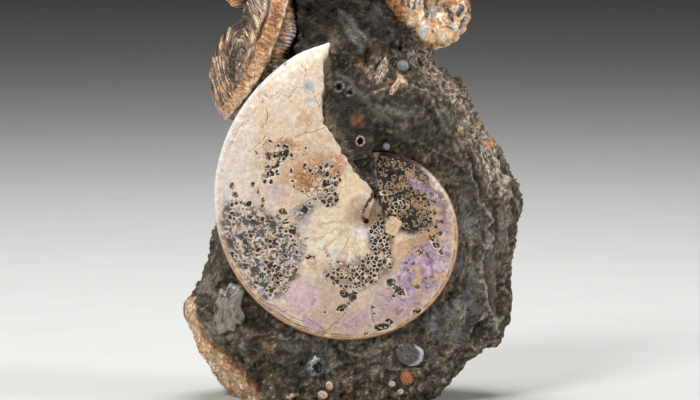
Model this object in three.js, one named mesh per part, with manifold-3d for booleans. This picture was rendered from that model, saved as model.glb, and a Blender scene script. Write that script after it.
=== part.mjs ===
// A fossil ammonite cluster: one large disc-shaped ammonite, two smaller hooked ammonites and a scatter of
// small shells, all held in a standing block of dark concretion stone that carries them.
//
// Frame: millimetres, +Z up, +X to the right of the display face, which looks along -Y.
// The origin is on the flat foot of the stone.
import * as THREE from 'three';
import { ParametricGeometry } from 'three/addons/geometries/ParametricGeometry.js';
import { mergeVertices } from 'three/addons/utils/BufferGeometryUtils.js';
import Module from 'manifold-3d';

const wasm = await Module();
wasm.setup();

// Driving dimensions of the large ammonite
const SHELL = {
  x: 18, // the umbilicus, the middle of the spiral
  z: 123.8,
  keelY: 22, // depth of the plane that holds its sharp outer edge
  startRadius: 47.2, // outer radius straight above the umbilicus, where the last whorl starts
  growth: 0.1621, // growth of the radius per radian of the spiral
  thickness: 0.165, // half thickness as a share of the outer radius
  rim: 1.6, // half thickness of the outer edge
  rimTaper: 6, // how fast it thins towards the rim
  rimLeast: 0.35, // share of the rim's thickness that is left at the very edge
  flatness: 2.4, // powers that shape the bulge of the flank
  fullness: 0.8,
  umbilicusDepth: 7, // half thickness at the middle
  umbilicusReach: 15, // radius at which the flank has its full thickness
  columns: 38,
  rows: 14,
};
const RING_POWER = 0.85; // sets the rings of the large ammonite closer together towards its edge
const SPIRAL_STEPS = 4; // steps that settle the angle and the radius of a point of the spiral

// Driving dimensions of the stone
const STONE = {
  axisX: 3, // a vertical line inside the stone that its surface is drawn around
  axisY: 66,
  footY: 60, // depth of the middle of the foot
  depthShare: 0.6, // depth of the ellipse on which its columns are spread, as a share of its width
  frontDepth: 25.5, // depth of the display face beside the large ammonite
  backDepth: 106,
  widestDepth: 64, // depth at which the stone is as wide as its outline
  backWidestDepth: 80, // depth up to which it stays as wide
  frontTaper: 0.42, // how fast the sides draw in towards the front and the back
  backTaper: 0.35,
  sideSlant: 0.9, // turns a distance across a tapering side into one square to it
  roundness: 2.2, // rounding where two faces meet
  scallop: 31, // size of the hollows where it broke
  scallopDepth: 13, // how deep they are at most
  scallopLevel: 0.3, // raises them so that they lie about the surface
  calm: 0.8, // share of that depth that is lost at the outline and on the smooth scars
  calmOutline: 9, // half width of the smooth band along the outline
  calmRadius: 96, // the bed of the large ammonite is smooth up to this radius
  calmFade: 12, // and gets rough over this distance
  calmDepth: 40, // in front of this depth
  columns: 42,
};
// How the display face meets the fossils, in millimetres and degrees round the large ammonite
const FACE = {
  fillDrop: 2.6, // how far below the lost flank the stone in the mouth lies
  fillFade: 42, // it falls away over these degrees past its edge
  fillStart: -60, // and starts here, behind the flank
  fillRise: 20,
  fillInside: 6, // across the outer edge it ends from this far inside
  fillOutside: 14, // to this far outside
  grooveStart: 4,
  grooveEnd: 150,
  grooveDepth: 24,
  grooveSlope: 0.8,
  neckStart: 228, // heights over which the neck steps back
  neckEnd: 246,
  neckRightDepth: 60,
  neckRightX: 52, // where the right step is at the height neckLevel
  neckRightSlant: 0.65,
  neckLevel: 241,
  neckRightFade: 6,
  neckLeftDepth: 54,
  neckLeftX: -26,
  neckLeftFade: 8,
};
const GAP = 0.35; // clearance between a fossil and its bed in the stone
const LEAN_PASSES = 40; // steps taken to find the direction that clears every face around a corner
const LEAN_STEP = 0.1;
const LEAST_LEAN = 0.3; // keeps a corner between steep faces from moving too far
const MERGE = 1e-4; // corners closer than this are one
const RAY_STEP = 2; // steps and reach of the search for the stone's surface
const RAY_REACH = 150;
const HALVINGS = 12;
const DEPTH_STEP = 0.25;
const DEEPEST = 90; // depth that lies inside the stone behind every small shell

// Outline of the stone seen from the front: [z, x], straight between the points
const LEFT_EDGE = [
  [0, -74], [10, -83], [20, -91], [27, -95.5], [34, -99], [41, -101.5], [53, -104], [61, -105], [67, -102.5],
  [76, -97.5], [86, -93], [93, -90], [100, -87], [108, -84], [122, -81], [142, -78], [165, -74], [180, -69],
  [190, -69], [200, -72], [212, -75], [230, -75], [258, -67], [287, -55], [318, -30],
];
const RIGHT_EDGE = [
  [0, 67.5], [5, 69.5], [13, 78], [25, 88], [30, 95.5], [35.5, 105], [37, 109], [46, 112], [57, 117.5],
  [72, 118.5], [91, 118.5], [101, 120.5], [113, 122], [120, 124], [129, 124], [138, 120.5], [147, 117],
  [157, 112], [170, 107.5], [178, 102], [189, 95.5], [199, 90.5], [208, 85], [214, 76], [223, 66.5],
  [231, 59], [238, 63], [246, 70], [258, 78], [271, 82], [288, 78], [303, 60], [318, 34],
];
// Heights at which the stone is drawn, close together where its outline turns
const LEVELS = [
  0, 9, 18, 27, 35.5, 46, 57, 68, 80, 92, 104, 116, 129, 140, 151, 163, 175, 187, 199, 209, 220, 231, 242,
  256, 270, 282,
];
// Above the last level its surface is drawn at these slopes, up to straight overhead
const TOP_SLOPES = [18, 36, 54, 72];

// Edge of the broken shell at its mouth: [radius, degrees clockwise from straight up]
const MOUTH_EDGE = [
  [0, 14], [12, 14], [19, 16], [24, 9], [31, -6], [37, -12.5], [44, -16.5], [55, -19], [75, -23], [86, -21],
  [99, -17], [112, -15.5], [118, -13], [126, -11],
];
// Edge of the stone that fills the mouth, on the side of the inner whorl
const FILL_EDGE = [
  [0, 14], [18, 11], [27, 16], [40, 8], [50, 5], [62, 5], [82, -3], [103, -12], [126, -11],
];

// Relief of the display face: each entry sinks the stone (+) or raises it (-), fading over an ellipse. The
// stone is smooth where calm is set.
const RELIEF = [
  { part: 'hollow right of the shell', x: 92, z: 110, rx: 14, rz: 54, turn: -8, sink: 8, calm: true },
  { part: 'smooth scar of the lost shell', x: 66, z: 192, rx: 34, rz: 20, turn: -32, sink: 7, calm: true },
  { part: 'lower right slope', x: 70, z: 34, rx: 36, rz: 24, turn: 20, sink: 7 },
  { part: 'lower left slope', x: -88, z: 62, rx: 26, rz: 46, turn: 0, sink: 12 },
  { part: 'bottom left hollow', x: -50, z: 26, rx: 26, rz: 18, turn: 0, sink: 5 },
  { part: 'bottom middle swell', x: 4, z: 22, rx: 30, rz: 20, turn: 0, sink: -5 },
  { part: 'neck', x: 2, z: 276, rx: 46, rz: 36, turn: 0, sink: 18 },
  { part: 'shoulder with the shell debris', x: 36, z: 224, rx: 20, rz: 15, turn: 0, sink: -6 },
];

// Broken faces: each cuts the stone flat. Its outward normal turns about Z from the front and tilts upwards,
// both in degrees, and it passes through the point at.
const BROKEN_FACES = [
  { turn: 44, tilt: 6, at: [106, 37, 96] },
  { turn: 62, tilt: 2, at: [117, 50, 60] },
  { turn: 50, tilt: 24, at: [97, 40, 172] },
  { turn: 34, tilt: 30, at: [66, 36, 214] },
  { turn: 132, tilt: 6, at: [106, 90, 120] },
  { turn: 150, tilt: 14, at: [92, 100, 236] },
  { turn: 184, tilt: 10, at: [0, 104, 190] },
  { turn: 212, tilt: 2, at: [-80, 98, 96] },
  { turn: 226, tilt: 12, at: [-76, 96, 236] },
  { turn: 176, tilt: 30, at: [6, 104, 276] },
  { turn: 84, tilt: 58, at: [66, 78, 300] },
  { turn: 268, tilt: 46, at: [-50, 78, 284] },
  { turn: 6, tilt: 44, at: [0, 52, 302] },
  { turn: 40, tilt: 80, at: [0, 72, 309] },
  { turn: 140, tilt: -22, at: [80, 92, 34] },
  { turn: 222, tilt: -20, at: [-76, 86, 30] },
];

const TURN = 2 * Math.PI;
const radians = THREE.MathUtils.degToRad;
const smooth = (from, to, x) => THREE.MathUtils.smoothstep(x, from, to);
const mix = THREE.MathUtils.lerp;

// Value at x of a curve given as [position, value] points, straight between them
function along(points, x) {
  const i = points.findIndex(([p]) => p > x);
  if (i === 0) return points[0][1];
  if (i < 0) return points.at(-1)[1];
  const [[a, from], [b, to]] = [points[i - 1], points[i]];
  return from + ((to - from) * (x - a)) / (b - a);
}

// A closed surface from a grid of points. place(column, v) gives a point; columns close on themselves, and v
// runs from one pole to the other.
function closedSurface(place, columns, rows) {
  const grid = new ParametricGeometry(
    (u, v, target) => target.copy(place(Math.round(u * columns) % columns, v)), columns, rows,
  );
  grid.deleteAttribute('normal');
  grid.deleteAttribute('uv');
  const merged = mergeVertices(grid, MERGE);
  const corners = merged.index.array;
  const kept = [];
  for (let i = 0; i < corners.length; i += 3) {
    const [a, b, c] = corners.slice(i, i + 3);
    if (a !== b && b !== c && c !== a) kept.push(a, b, c);
  }
  merged.setIndex(kept);
  return merged;
}

// The solid of a closed geometry, turned right side out if its faces point inwards
function solidOf(geometry, matrix = new THREE.Matrix4()) {
  const placed = mergeVertices(geometry.clone().applyMatrix4(matrix), MERGE);
  const vertProperties = new Float32Array(placed.attributes.position.array);
  const triVerts = new Uint32Array(placed.index.array);
  const solid = new wasm.Manifold(new wasm.Mesh({ numProp: 3, vertProperties, triVerts }));
  if (solid.volume() > 0) return solid;
  triVerts.reverse();
  return new wasm.Manifold(new wasm.Mesh({ numProp: 3, vertProperties, triVerts }));
}

function geometryOf(solid) {
  const { vertProperties, triVerts, numProp, numVert } = solid.getMesh();
  const positions = new Float32Array(numVert * 3);
  for (let i = 0; i < numVert; i += 1) {
    positions.set(vertProperties.subarray(i * numProp, i * numProp + 3), i * 3);
  }
  const geometry = new THREE.BufferGeometry();
  geometry.setAttribute('position', new THREE.BufferAttribute(positions, 3));
  geometry.setIndex(new THREE.BufferAttribute(triVerts, 1));
  geometry.computeVertexNormals();
  return geometry;
}

// A copy of a closed geometry with every face moved outwards by at least the clearance
function grown(geometry) {
  const { position } = geometry.attributes;
  const corners = geometry.index.array;
  const facesAt = Array.from({ length: position.count }, () => []);
  const triangle = new THREE.Triangle();
  for (let i = 0; i < corners.length; i += 3) {
    triangle.setFromAttributeAndIndices(position, corners[i], corners[i + 1], corners[i + 2]);
    const normal = triangle.getNormal(new THREE.Vector3());
    corners.slice(i, i + 3).forEach((corner) => facesAt[corner].push(normal));
  }
  const moved = position.clone();
  facesAt.forEach((normals, corner) => {
    const outward = normals.reduce((sum, normal) => sum.add(normal), new THREE.Vector3()).normalize();
    const leastFacing = () => normals.reduce((a, b) => (a.dot(outward) < b.dot(outward) ? a : b));
    for (let pass = 0; pass < LEAN_PASSES; pass += 1) {
      outward.addScaledVector(leastFacing(), LEAN_STEP).normalize();
    }
    const distance = GAP / Math.max(LEAST_LEAN, leastFacing().dot(outward));
    const point = new THREE.Vector3().fromBufferAttribute(position, corner);
    point.addScaledVector(outward, distance);
    moved.setXYZ(corner, point.x, point.y, point.z);
  });
  const copy = new THREE.BufferGeometry();
  copy.setAttribute('position', moved);
  copy.setIndex(geometry.index.clone());
  return copy;
}

// Gentle lumps: two waves of their own height and length that cross each other
function lumps(x, y, z) {
  return (
    1.3 * Math.sin(x / 17 + 1.1 * Math.sin(z / 23) + 0.6) * Math.cos(z / 15 + y / 21)
    + 0.8 * Math.sin(x / 8.3 - z / 9.7 + 2.1) * Math.cos(y / 7.9 + z / 12.1)
  );
}

// A number from 0 to 1 that three whole numbers and a seed always give
function scatter(i, j, k, seed) {
  const value = Math.sin(i * 127.1 + j * 311.7 + k * 74.7 + seed * 53.9) * 43758.5453;
  return value - Math.floor(value);
}

// Hollows where the stone broke: each uneven cell of space scoops the surface out around its own middle, and
// sharp ridges are left between them
function scallops(x, y, z) {
  const [gx, gy, gz] = [x / STONE.scallop, y / STONE.scallop, z / STONE.scallop];
  let nearest = Infinity;
  for (const a of [-1, 0, 1]) {
    for (const b of [-1, 0, 1]) {
      for (const c of [-1, 0, 1]) {
        const [i, j, k] = [Math.floor(gx) + a, Math.floor(gy) + b, Math.floor(gz) + c];
        const dx = gx - i - scatter(i, j, k, 1);
        const dy = gy - j - scatter(i, j, k, 2);
        const dz = gz - k - scatter(i, j, k, 3);
        nearest = Math.min(nearest, dx ** 2 + dy ** 2 + dz ** 2);
      }
    }
  }
  return nearest - STONE.scallopLevel;
}

// Large ammonite

const shellRadius = (angle) => SHELL.startRadius * Math.exp(SHELL.growth * angle);

// Half thickness of the large ammonite at a radius, where its outer edge is at the radius outer
function shellHalfThickness(radius, outer) {
  const share = Math.min(radius / outer, 1);
  const flank = SHELL.thickness * outer * (1 - share ** SHELL.flatness) ** SHELL.fullness;
  const opened = mix(SHELL.umbilicusDepth, flank, smooth(0, SHELL.umbilicusReach, radius));
  return Math.max(opened, SHELL.rim * Math.min(1, SHELL.rimTaper * (1 - share) + SHELL.rimLeast));
}

function largeAmmonite() {
  const last = SHELL.columns - 1;
  const place = (column, v) => {
    const turned = (TURN * Math.min(column, last)) / last;
    const share = 1 - Math.abs(2 * v - 1);
    let angle = turned;
    let outer = 0;
    let radius = 0;
    for (let step = 0; step < SPIRAL_STEPS; step += 1) {
      outer = shellRadius(angle);
      radius = share ** RING_POWER * outer;
      angle = turned + radians(along(MOUTH_EDGE, radius));
    }
    const half = shellHalfThickness(radius, outer);
    const side = v < 0.5 ? -1 : 1;
    return new THREE.Vector3(
      SHELL.x + radius * Math.sin(angle),
      SHELL.keelY + (v === 0.5 ? 0 : side * half),
      SHELL.z + radius * Math.cos(angle),
    );
  };
  return closedSurface(place, SHELL.columns, SHELL.rows);
}

// Hooked ammonites

const COIL = {
  columns: 37,
  rows: 8,
  flankRib: 0.6, // height of the ribs on the flank as a share of their height on the outer edge
  ribFrom: 0.2, // shares of the radius between which they rise
  ribTo: 0.7,
  navelFrom: 0.02, // shares of the radius between which the navel opens
  navelTo: 0.42,
  ringPower: 0.8, // sets the rings closer together towards the edge
};
const HOOK = {
  sides: 9,
  startShare: 0.8, // width at its start as a share of its greatest width
  swellShift: 0.25, // moves the widest place along it
};
const SPINE = {
  reach: 0.84, // share of the coil's radius at which they stand
  depth: 0.72, // share of its half thickness
  length: 1.2, // length as a share of width
};

// A coiled fossil lying in its own XZ plane, with ribs across its whorl
function coil({ radius, growth, thickness, squareness, ribHeight, navel, turned }) {
  const last = COIL.columns - 1;
  const place = (column, v) => {
    const share = 1 - Math.abs(2 * v - 1);
    const angle = turned + (TURN * Math.min(column, last)) / last;
    const rib = ribHeight * (column % 2 ? 1 : -1);
    const outer = radius * Math.exp(growth * (angle - turned)) + rib;
    const flankRib = COIL.flankRib * rib * smooth(COIL.ribFrom, COIL.ribTo, share);
    const full = thickness * Math.sqrt(Math.max(0, 1 - share ** squareness)) + flankRib;
    const half = mix(navel, full, smooth(COIL.navelFrom, COIL.navelTo, share));
    const side = v < 0.5 ? -1 : 1;
    const reach = share ** COIL.ringPower * outer;
    return new THREE.Vector3(reach * Math.sin(angle), v === 0.5 ? 0 : side * half, reach * Math.cos(angle));
  };
  return closedSurface(place, COIL.columns, COIL.rows);
}

// The free part of the shell, which leaves the coil and hooks back: a rounded tube along a curve in the XZ
// plane
function hook({ path, half, thickness, ribs, ribHeight }) {
  const curve = new THREE.CatmullRomCurve3(path.map(([x, z]) => new THREE.Vector3(x, 0, z)));
  const rows = 2 * ribs + 2;
  const place = (side, v) => {
    const row = Math.round(v * rows);
    const t = THREE.MathUtils.clamp((row - 1) / (rows - 2), 0, 1);
    const centre = curve.getPointAt(t);
    const forward = curve.getTangentAt(t);
    const outward = new THREE.Vector3(forward.z, 0, -forward.x);
    if (row === 0 || row === rows) return centre;
    const around = (TURN * side) / HOOK.sides;
    const rib = row % 2 ? ribHeight : 0;
    const swell = mix(HOOK.startShare, 1, Math.sin(Math.PI * Math.min(1, t + HOOK.swellShift)));
    const across = (half * swell + rib) * Math.cos(around);
    const through = (thickness * swell + rib) * Math.sin(around);
    return centre.addScaledVector(outward, across).add(new THREE.Vector3(0, through, 0));
  };
  return closedSurface(place, HOOK.sides, rows);
}

// Blunt spines along the outer shoulder of a coil
function spines({ radius, growth, turned, spineAngles, spineHeight, thickness }) {
  return spineAngles.map((degrees) => {
    const angle = radians(degrees);
    const reach = SPINE.reach * radius * Math.exp(growth * (angle - turned));
    const spine = new THREE.SphereGeometry(spineHeight, 5, 3);
    spine.deleteAttribute('normal');
    spine.deleteAttribute('uv');
    spine.scale(1, SPINE.length, 1);
    spine.translate(reach * Math.sin(angle), -SPINE.depth * thickness, reach * Math.cos(angle));
    return mergeVertices(spine, MERGE);
  });
}

const LEFT_HOOKED = {
  position: [-60, 63, 243],
  rotation: [0, 8, -62],
  coilAt: -22,
  coil: {
    radius: 35, growth: 0.01, thickness: 17, squareness: 3.4, ribHeight: 0.8, navel: 9, turned: radians(20),
  },
  hook: {
    path: [
      [6, -44], [16, -39], [23, -27], [25, -8], [25, 8], [23, 22], [14, 36], [0, 41], [-13, 36], [-22, 28],
    ],
    half: 14, thickness: 18.5, ribs: 11, ribHeight: 1.1,
  },
};
const RIGHT_HOOKED = {
  position: [61, 62, 280],
  rotation: [4, 0, 12],
  coilAt: -14,
  coil: {
    radius: 26.5, growth: 0.012, thickness: 17, squareness: 3, ribHeight: 0.7, navel: 8,
    turned: radians(200), spineAngles: [96, 114, 132, 150, 168, 186, 204, 222], spineHeight: 2.8,
  },
  hook: {
    path: [[-12, -20], [-18, -6], [-17, 8], [-9, 21], [4, 25], [15, 19], [20, 8]],
    half: 13.5, thickness: 16.5, ribs: 10, ribHeight: 0.9,
  },
};

// The solids that make up a hooked ammonite, each closed by itself
function hookedAmmonite(fossil) {
  const raise = new THREE.Matrix4().makeTranslation(0, 0, fossil.coilAt);
  const coiled = [coil(fossil.coil), ...(fossil.coil.spineAngles ? spines(fossil.coil) : [])];
  return [hook(fossil.hook), ...coiled.map((part) => part.applyMatrix4(raise))];
}

// Stone

// How far a point seen from the front lies inside the ellipse of a relief entry: 1 at its middle, 0 far away
function reliefWeight({ x: cx, z: cz, rx, rz, turn }, x, z) {
  const [c, s] = [Math.cos(radians(turn)), Math.sin(radians(turn))];
  const across = (c * (x - cx) + s * (z - cz)) / rx;
  const up = (c * (z - cz) - s * (x - cx)) / rz;
  return Math.exp(-(across ** 2 + up ** 2));
}

// Depth of the display face at a point seen from the front
function faceDepth(x, z) {
  let depth = STONE.frontDepth;
  for (const entry of RELIEF) depth += entry.sink * reliefWeight(entry, x, z);
  // The stone in the shell's mouth stands almost as high as the lost flank, and falls away on its right
  const [dx, dz] = [x - SHELL.x, z - SHELL.z];
  const radius = Math.hypot(dx, dz);
  const angle = Math.atan2(dx, dz);
  const degrees = THREE.MathUtils.radToDeg(angle);
  const outer = shellRadius(angle + TURN);
  const flank = SHELL.keelY - shellHalfThickness(radius, outer) + FACE.fillDrop;
  const fallen = smooth(0, FACE.fillFade, degrees - along(FILL_EDGE, radius));
  const risen = smooth(0, FACE.fillRise, degrees - FACE.fillStart);
  const beyond = smooth(outer - FACE.fillInside, outer + FACE.fillOutside, radius);
  depth = mix(depth, flank, (1 - fallen) * risen * (1 - beyond));
  // A groove frees the edge of the inner whorl
  if (degrees > FACE.grooveStart && degrees < FACE.grooveEnd) {
    const clear = Math.max(0, radius - shellRadius(angle));
    depth = Math.max(depth, FACE.grooveDepth - FACE.grooveSlope * clear);
  }
  // The neck steps back beside the two hooked ammonites
  const neck = smooth(FACE.neckStart, FACE.neckEnd, z);
  const rightX = FACE.neckRightX - FACE.neckRightSlant * (z - FACE.neckLevel);
  depth = mix(depth, FACE.neckRightDepth, neck * smooth(0, FACE.neckRightFade, x - rightX));
  return mix(depth, FACE.neckLeftDepth, neck * smooth(0, FACE.neckLeftFade, FACE.neckLeftX - x));
}

// How much the broken facets show at a point
function roughness(x, y, z) {
  let calm = Math.exp(-(((y - STONE.widestDepth) / STONE.calmOutline) ** 2));
  for (const entry of RELIEF.filter((each) => each.calm)) calm = Math.max(calm, reliefWeight(entry, x, z));
  const radius = Math.hypot(x - SHELL.x, z - SHELL.z);
  const bed = 1 - smooth(STONE.calmRadius, STONE.calmRadius + STONE.calmFade, radius);
  return 1 - STONE.calm * Math.max(calm, y < STONE.calmDepth ? bed : 0);
}

// Above zero outside the stone
function outsideStone(x, y, z) {
  const ahead = Math.max(0, STONE.widestDepth - y) * STONE.frontTaper;
  const behind = Math.max(0, y - STONE.backWidestDepth) * STONE.backTaper;
  const faces = [
    faceDepth(x, z) - y,
    y - STONE.backDepth,
    (x + ahead + behind - along(RIGHT_EDGE, z)) * STONE.sideSlant,
    (along(LEFT_EDGE, z) + ahead + behind - x) * STONE.sideSlant,
  ];
  for (const { turn, tilt, at } of BROKEN_FACES) {
    const level = Math.cos(radians(tilt));
    const nx = Math.sin(radians(turn)) * level;
    const ny = -Math.cos(radians(turn)) * level;
    const nz = Math.sin(radians(tilt));
    faces.push(nx * (x - at[0]) + ny * (y - at[1]) + nz * (z - at[2]));
  }
  // A smooth maximum, which rounds the edges between the faces
  const most = Math.max(...faces);
  const sum = faces.reduce((total, face) => total + Math.exp((face - most) / STONE.roundness), 0);
  const face = most + STONE.roundness * Math.log(sum);
  return face - lumps(x, y, z) - roughness(x, y, z) * STONE.scallopDepth * scallops(x, y, z);
}

// The point where a line leaves the stone. It starts on the axis at the height z and runs in a direction seen
// from above, rising at a slope; both in radians.
function stoneSurface(z, direction, slope) {
  const ray = new THREE.Vector3(
    Math.cos(direction) * Math.cos(slope), Math.sin(direction) * Math.cos(slope), Math.sin(slope),
  );
  const start = new THREE.Vector3(STONE.axisX, STONE.axisY, z);
  const outsideAt = (reach) => {
    const point = start.clone().addScaledVector(ray, reach);
    return outsideStone(point.x, point.y, Math.max(point.z, 1)) > 0;
  };
  let reach = RAY_STEP;
  while (reach < RAY_REACH && !outsideAt(reach)) reach += RAY_STEP;
  let [inside, outside] = [reach - RAY_STEP, reach];
  for (let step = 0; step < HALVINGS; step += 1) {
    const middle = (inside + outside) / 2;
    [inside, outside] = outsideAt(middle) ? [inside, middle] : [middle, outside];
  }
  return start.addScaledVector(ray, inside);
}

function stone() {
  const lines = [
    ...LEVELS.map((z) => [z, 0]), ...TOP_SLOPES.map((slope) => [LEVELS.at(-1), radians(slope)]),
  ];
  const rows = lines.length + 1;
  const place = (column, v) => {
    const row = Math.round(v * rows);
    if (row === 0) return new THREE.Vector3(STONE.axisX, STONE.axisY, 0);
    if (row === rows) return stoneSurface(LEVELS.at(-1), 0, Math.PI / 2);
    // Columns are spread as on an ellipse as wide and deep as the stone
    const turned = (TURN * column) / STONE.columns;
    const [z, slope] = lines[row - 1];
    const direction = Math.atan2(-STONE.depthShare * Math.cos(turned), Math.sin(turned));
    return stoneSurface(z, direction, slope);
  };
  return closedSurface(place, STONE.columns, rows);
}

// Small shells

// Each is a dome, half sunk in the stone: seen from the front it is wide by tall, and it stands out by rise
const SMALL_SHELLS = [
  { name: 'clam_left', x: -74.5, z: 65, wide: 24, tall: 40, rise: 4.5, turn: 12, colour: 0x6f716f },
  { name: 'clam_right', x: 47, z: 33.5, wide: 23, tall: 18, rise: 3.5, turn: 20, colour: 0x8d8f8e },
  { name: 'rust_shell', x: 45.3, z: 17.5, wide: 10, tall: 10, rise: 2.5, turn: 10, colour: 0xa8703c },
  { name: 'snail_1', x: -7, z: 13.5, wide: 6, tall: 8, rise: 3, turn: -12, colour: 0xd9bfa6 },
  { name: 'snail_2', x: -11.5, z: 7.5, wide: 8, tall: 6.5, rise: 3, turn: 30, colour: 0xd9bfa6 },
  { name: 'snail_3', x: 35, z: 13.5, wide: 6, tall: 5, rise: 2.5, turn: 0, colour: 0xd8c7ba },
  { name: 'snail_4', x: 41, z: 8, wide: 5, tall: 5, rise: 2.5, turn: 0, colour: 0xcfc4bc },
  { name: 'hollow_shell', x: -16.5, z: 26, wide: 18, tall: 17, rise: 4, turn: -20, colour: 0x5c5a58 },
  { name: 'pearly_drop', x: 31, z: 176.5, wide: 6, tall: 9, rise: 2.5, turn: -8, colour: 0x8a8f93 },
  { name: 'pearly_disc', x: 42, z: 228.5, wide: 10, tall: 9, rise: 2, turn: 30, colour: 0x878c90 },
  { name: 'shell_fragment_1', x: 27.5, z: 225, wide: 8, tall: 24, rise: 3, turn: 18, colour: 0x8f7b66 },
  { name: 'shell_fragment_2', x: 36, z: 214.5, wide: 5, tall: 20, rise: 2, turn: 35, colour: 0xcaa98a },
  { name: 'worm_tube', x: 13.7, z: 180.5, wide: 8, tall: 9, rise: 3.5, turn: 0, colour: 0xc9a98a },
];

function smallShell({ wide, tall, rise }) {
  const dome = new THREE.SphereGeometry(1, 7, 4);
  dome.deleteAttribute('normal');
  dome.deleteAttribute('uv');
  dome.rotateX(Math.PI / 2);
  dome.scale(wide / 2, rise, tall / 2);
  return mergeVertices(dome, MERGE);
}

// Depth of the stone's surface behind a point of the front view
function stoneDepthAt(x, z) {
  let y = DEEPEST;
  while (y > 0 && outsideStone(x, y, z) < 0) y -= DEPTH_STEP;
  return y;
}

// Where a small shell lies: on the display face, tipped to follow its slope
function smallShellPlace({ x, z, turn }) {
  const step = 4;
  const slopeX = (faceDepth(x + step, z) - faceDepth(x - step, z)) / (2 * step);
  const slopeZ = (faceDepth(x, z + step) - faceDepth(x, z - step)) / (2 * step);
  const [tipX, tipZ] = [Math.atan(-slopeZ), Math.atan(slopeX)].map(THREE.MathUtils.radToDeg);
  return { position: [x, stoneDepthAt(x, z), z], rotation: [tipX, turn, tipZ] };
}

const LOOSE = { position: [0, 0, 0], rotation: [0, 0, 0] };

function lookOf(colour, roughness) {
  return new THREE.MeshStandardMaterial({ color: colour, roughness });
}

function piece(name, geometry, material, { position, rotation } = LOOSE) {
  const mesh = new THREE.Mesh(geometry, material);
  mesh.name = name;
  mesh.position.set(...position);
  mesh.rotation.set(...rotation.map(radians));
  mesh.updateMatrix();
  return mesh;
}

function cluster() {
  // Each fossil is a list of closed solids, which are joined where there are several
  const fossils = [
    { name: 'large_ammonite', solids: [largeAmmonite()], look: lookOf(0xd9c0a5, 0.35) },
    {
      name: 'hooked_ammonite_left', solids: hookedAmmonite(LEFT_HOOKED), place: LEFT_HOOKED,
      look: lookOf(0x8a6f55, 0.55),
    },
    {
      name: 'hooked_ammonite_right', solids: hookedAmmonite(RIGHT_HOOKED), place: RIGHT_HOOKED,
      look: lookOf(0xd09a62, 0.3),
    },
    ...SMALL_SHELLS.map((shell) => ({
      name: shell.name, solids: [smallShell(shell)], place: smallShellPlace(shell),
      look: lookOf(shell.colour, 0.45),
    })),
  ];
  // Depths are measured from the front, so everything moves to bring the middle of the foot to the origin
  const group = new THREE.Group();
  group.position.y = -STONE.footY;
  let block = solidOf(stone());
  for (const fossil of fossils) {
    const whole = fossil.solids.map((part) => solidOf(part));
    const mesh = piece(fossil.name, geometryOf(wasm.Manifold.union(whole)), fossil.look, fossil.place);
    // The stone holds a bed for each fossil, a little larger than it
    for (const part of whole) block = block.subtract(solidOf(grown(geometryOf(part)), mesh.matrix));
    group.add(mesh);
  }
  // Slivers that the beds cut off are left out
  const chips = block.decompose().sort((a, b) => b.volume() - a.volume());
  group.add(piece('stone', geometryOf(chips[0]), lookOf(0x4a423b, 0.85)));
  return group;
}

export default cluster();
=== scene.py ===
import math

import bpy
import numpy as np
from mathutils import Matrix, Vector


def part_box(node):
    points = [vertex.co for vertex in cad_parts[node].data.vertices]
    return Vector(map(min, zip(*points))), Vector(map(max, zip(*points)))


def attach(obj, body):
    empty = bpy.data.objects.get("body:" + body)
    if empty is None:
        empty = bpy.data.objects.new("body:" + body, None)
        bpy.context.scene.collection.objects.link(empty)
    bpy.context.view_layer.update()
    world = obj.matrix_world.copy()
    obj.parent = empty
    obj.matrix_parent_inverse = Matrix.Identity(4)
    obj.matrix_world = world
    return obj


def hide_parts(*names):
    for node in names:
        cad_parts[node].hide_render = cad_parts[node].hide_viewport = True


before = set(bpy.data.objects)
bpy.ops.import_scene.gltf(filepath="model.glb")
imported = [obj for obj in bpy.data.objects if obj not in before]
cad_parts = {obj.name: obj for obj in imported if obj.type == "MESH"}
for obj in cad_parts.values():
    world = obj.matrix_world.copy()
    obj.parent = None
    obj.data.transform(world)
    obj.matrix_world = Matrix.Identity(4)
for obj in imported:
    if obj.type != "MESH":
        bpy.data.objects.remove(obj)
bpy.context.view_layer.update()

MM = 0.001
FOOT_DEPTH = 60  # depth of the row frame's origin
TURN = 2 * math.pi

# Camera: millimetres and degrees
LOOK_AT = np.array([6.7, 2.0, 141.3])
ELEVATION = math.radians(6)
DISTANCE = 2600
PHOTO = (700, 400)  # pixels
PX_PER_MM = 1.5  # at the point looked at
SENSOR = 36

FORWARD = np.array([0, math.cos(ELEVATION), -math.sin(ELEVATION)])
UPWARD = np.array([0, math.sin(ELEVATION), math.cos(ELEVATION)])


def to_row(points):
    """Points in millimetres and depth, as metres in the row frame."""
    return (np.asarray(points, float) - [0, FOOT_DEPTH, 0]) * MM


def box_of(name):
    """Corners of a solid's box in millimetres and depth."""
    return [np.array(corner) / MM + [0, FOOT_DEPTH, 0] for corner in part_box(name)]


def in_photo(points):
    """Where points are seen in the photograph: pixels to the right and down."""
    offset = points - LOOK_AT
    scale = PX_PER_MM * DISTANCE / (DISTANCE + offset @ FORWARD)
    return PHOTO[0] / 2 + scale * offset[:, 0], PHOTO[1] / 2 - scale * (offset @ UPWARD)


def make_camera():
    data = bpy.data.cameras.new("camera")
    data.sensor_width = SENSOR
    data.lens = SENSOR * DISTANCE * PX_PER_MM / PHOTO[0]
    data.clip_start, data.clip_end = 0.05, 100
    camera = bpy.data.objects.new("camera", data)
    bpy.context.scene.collection.objects.link(camera)
    camera.location = to_row(LOOK_AT - DISTANCE * FORWARD)
    camera.rotation_euler = (math.pi / 2 - ELEVATION, 0, 0)
    bpy.context.scene.camera = camera


make_camera()


# Numbers on whole arrays

def mix(a, b, share):
    return a + (b - a) * share


def smooth(low, high, x):
    t = np.clip((x - low) / (high - low), 0, 1)
    return t * t * (3 - 2 * t)


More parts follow.
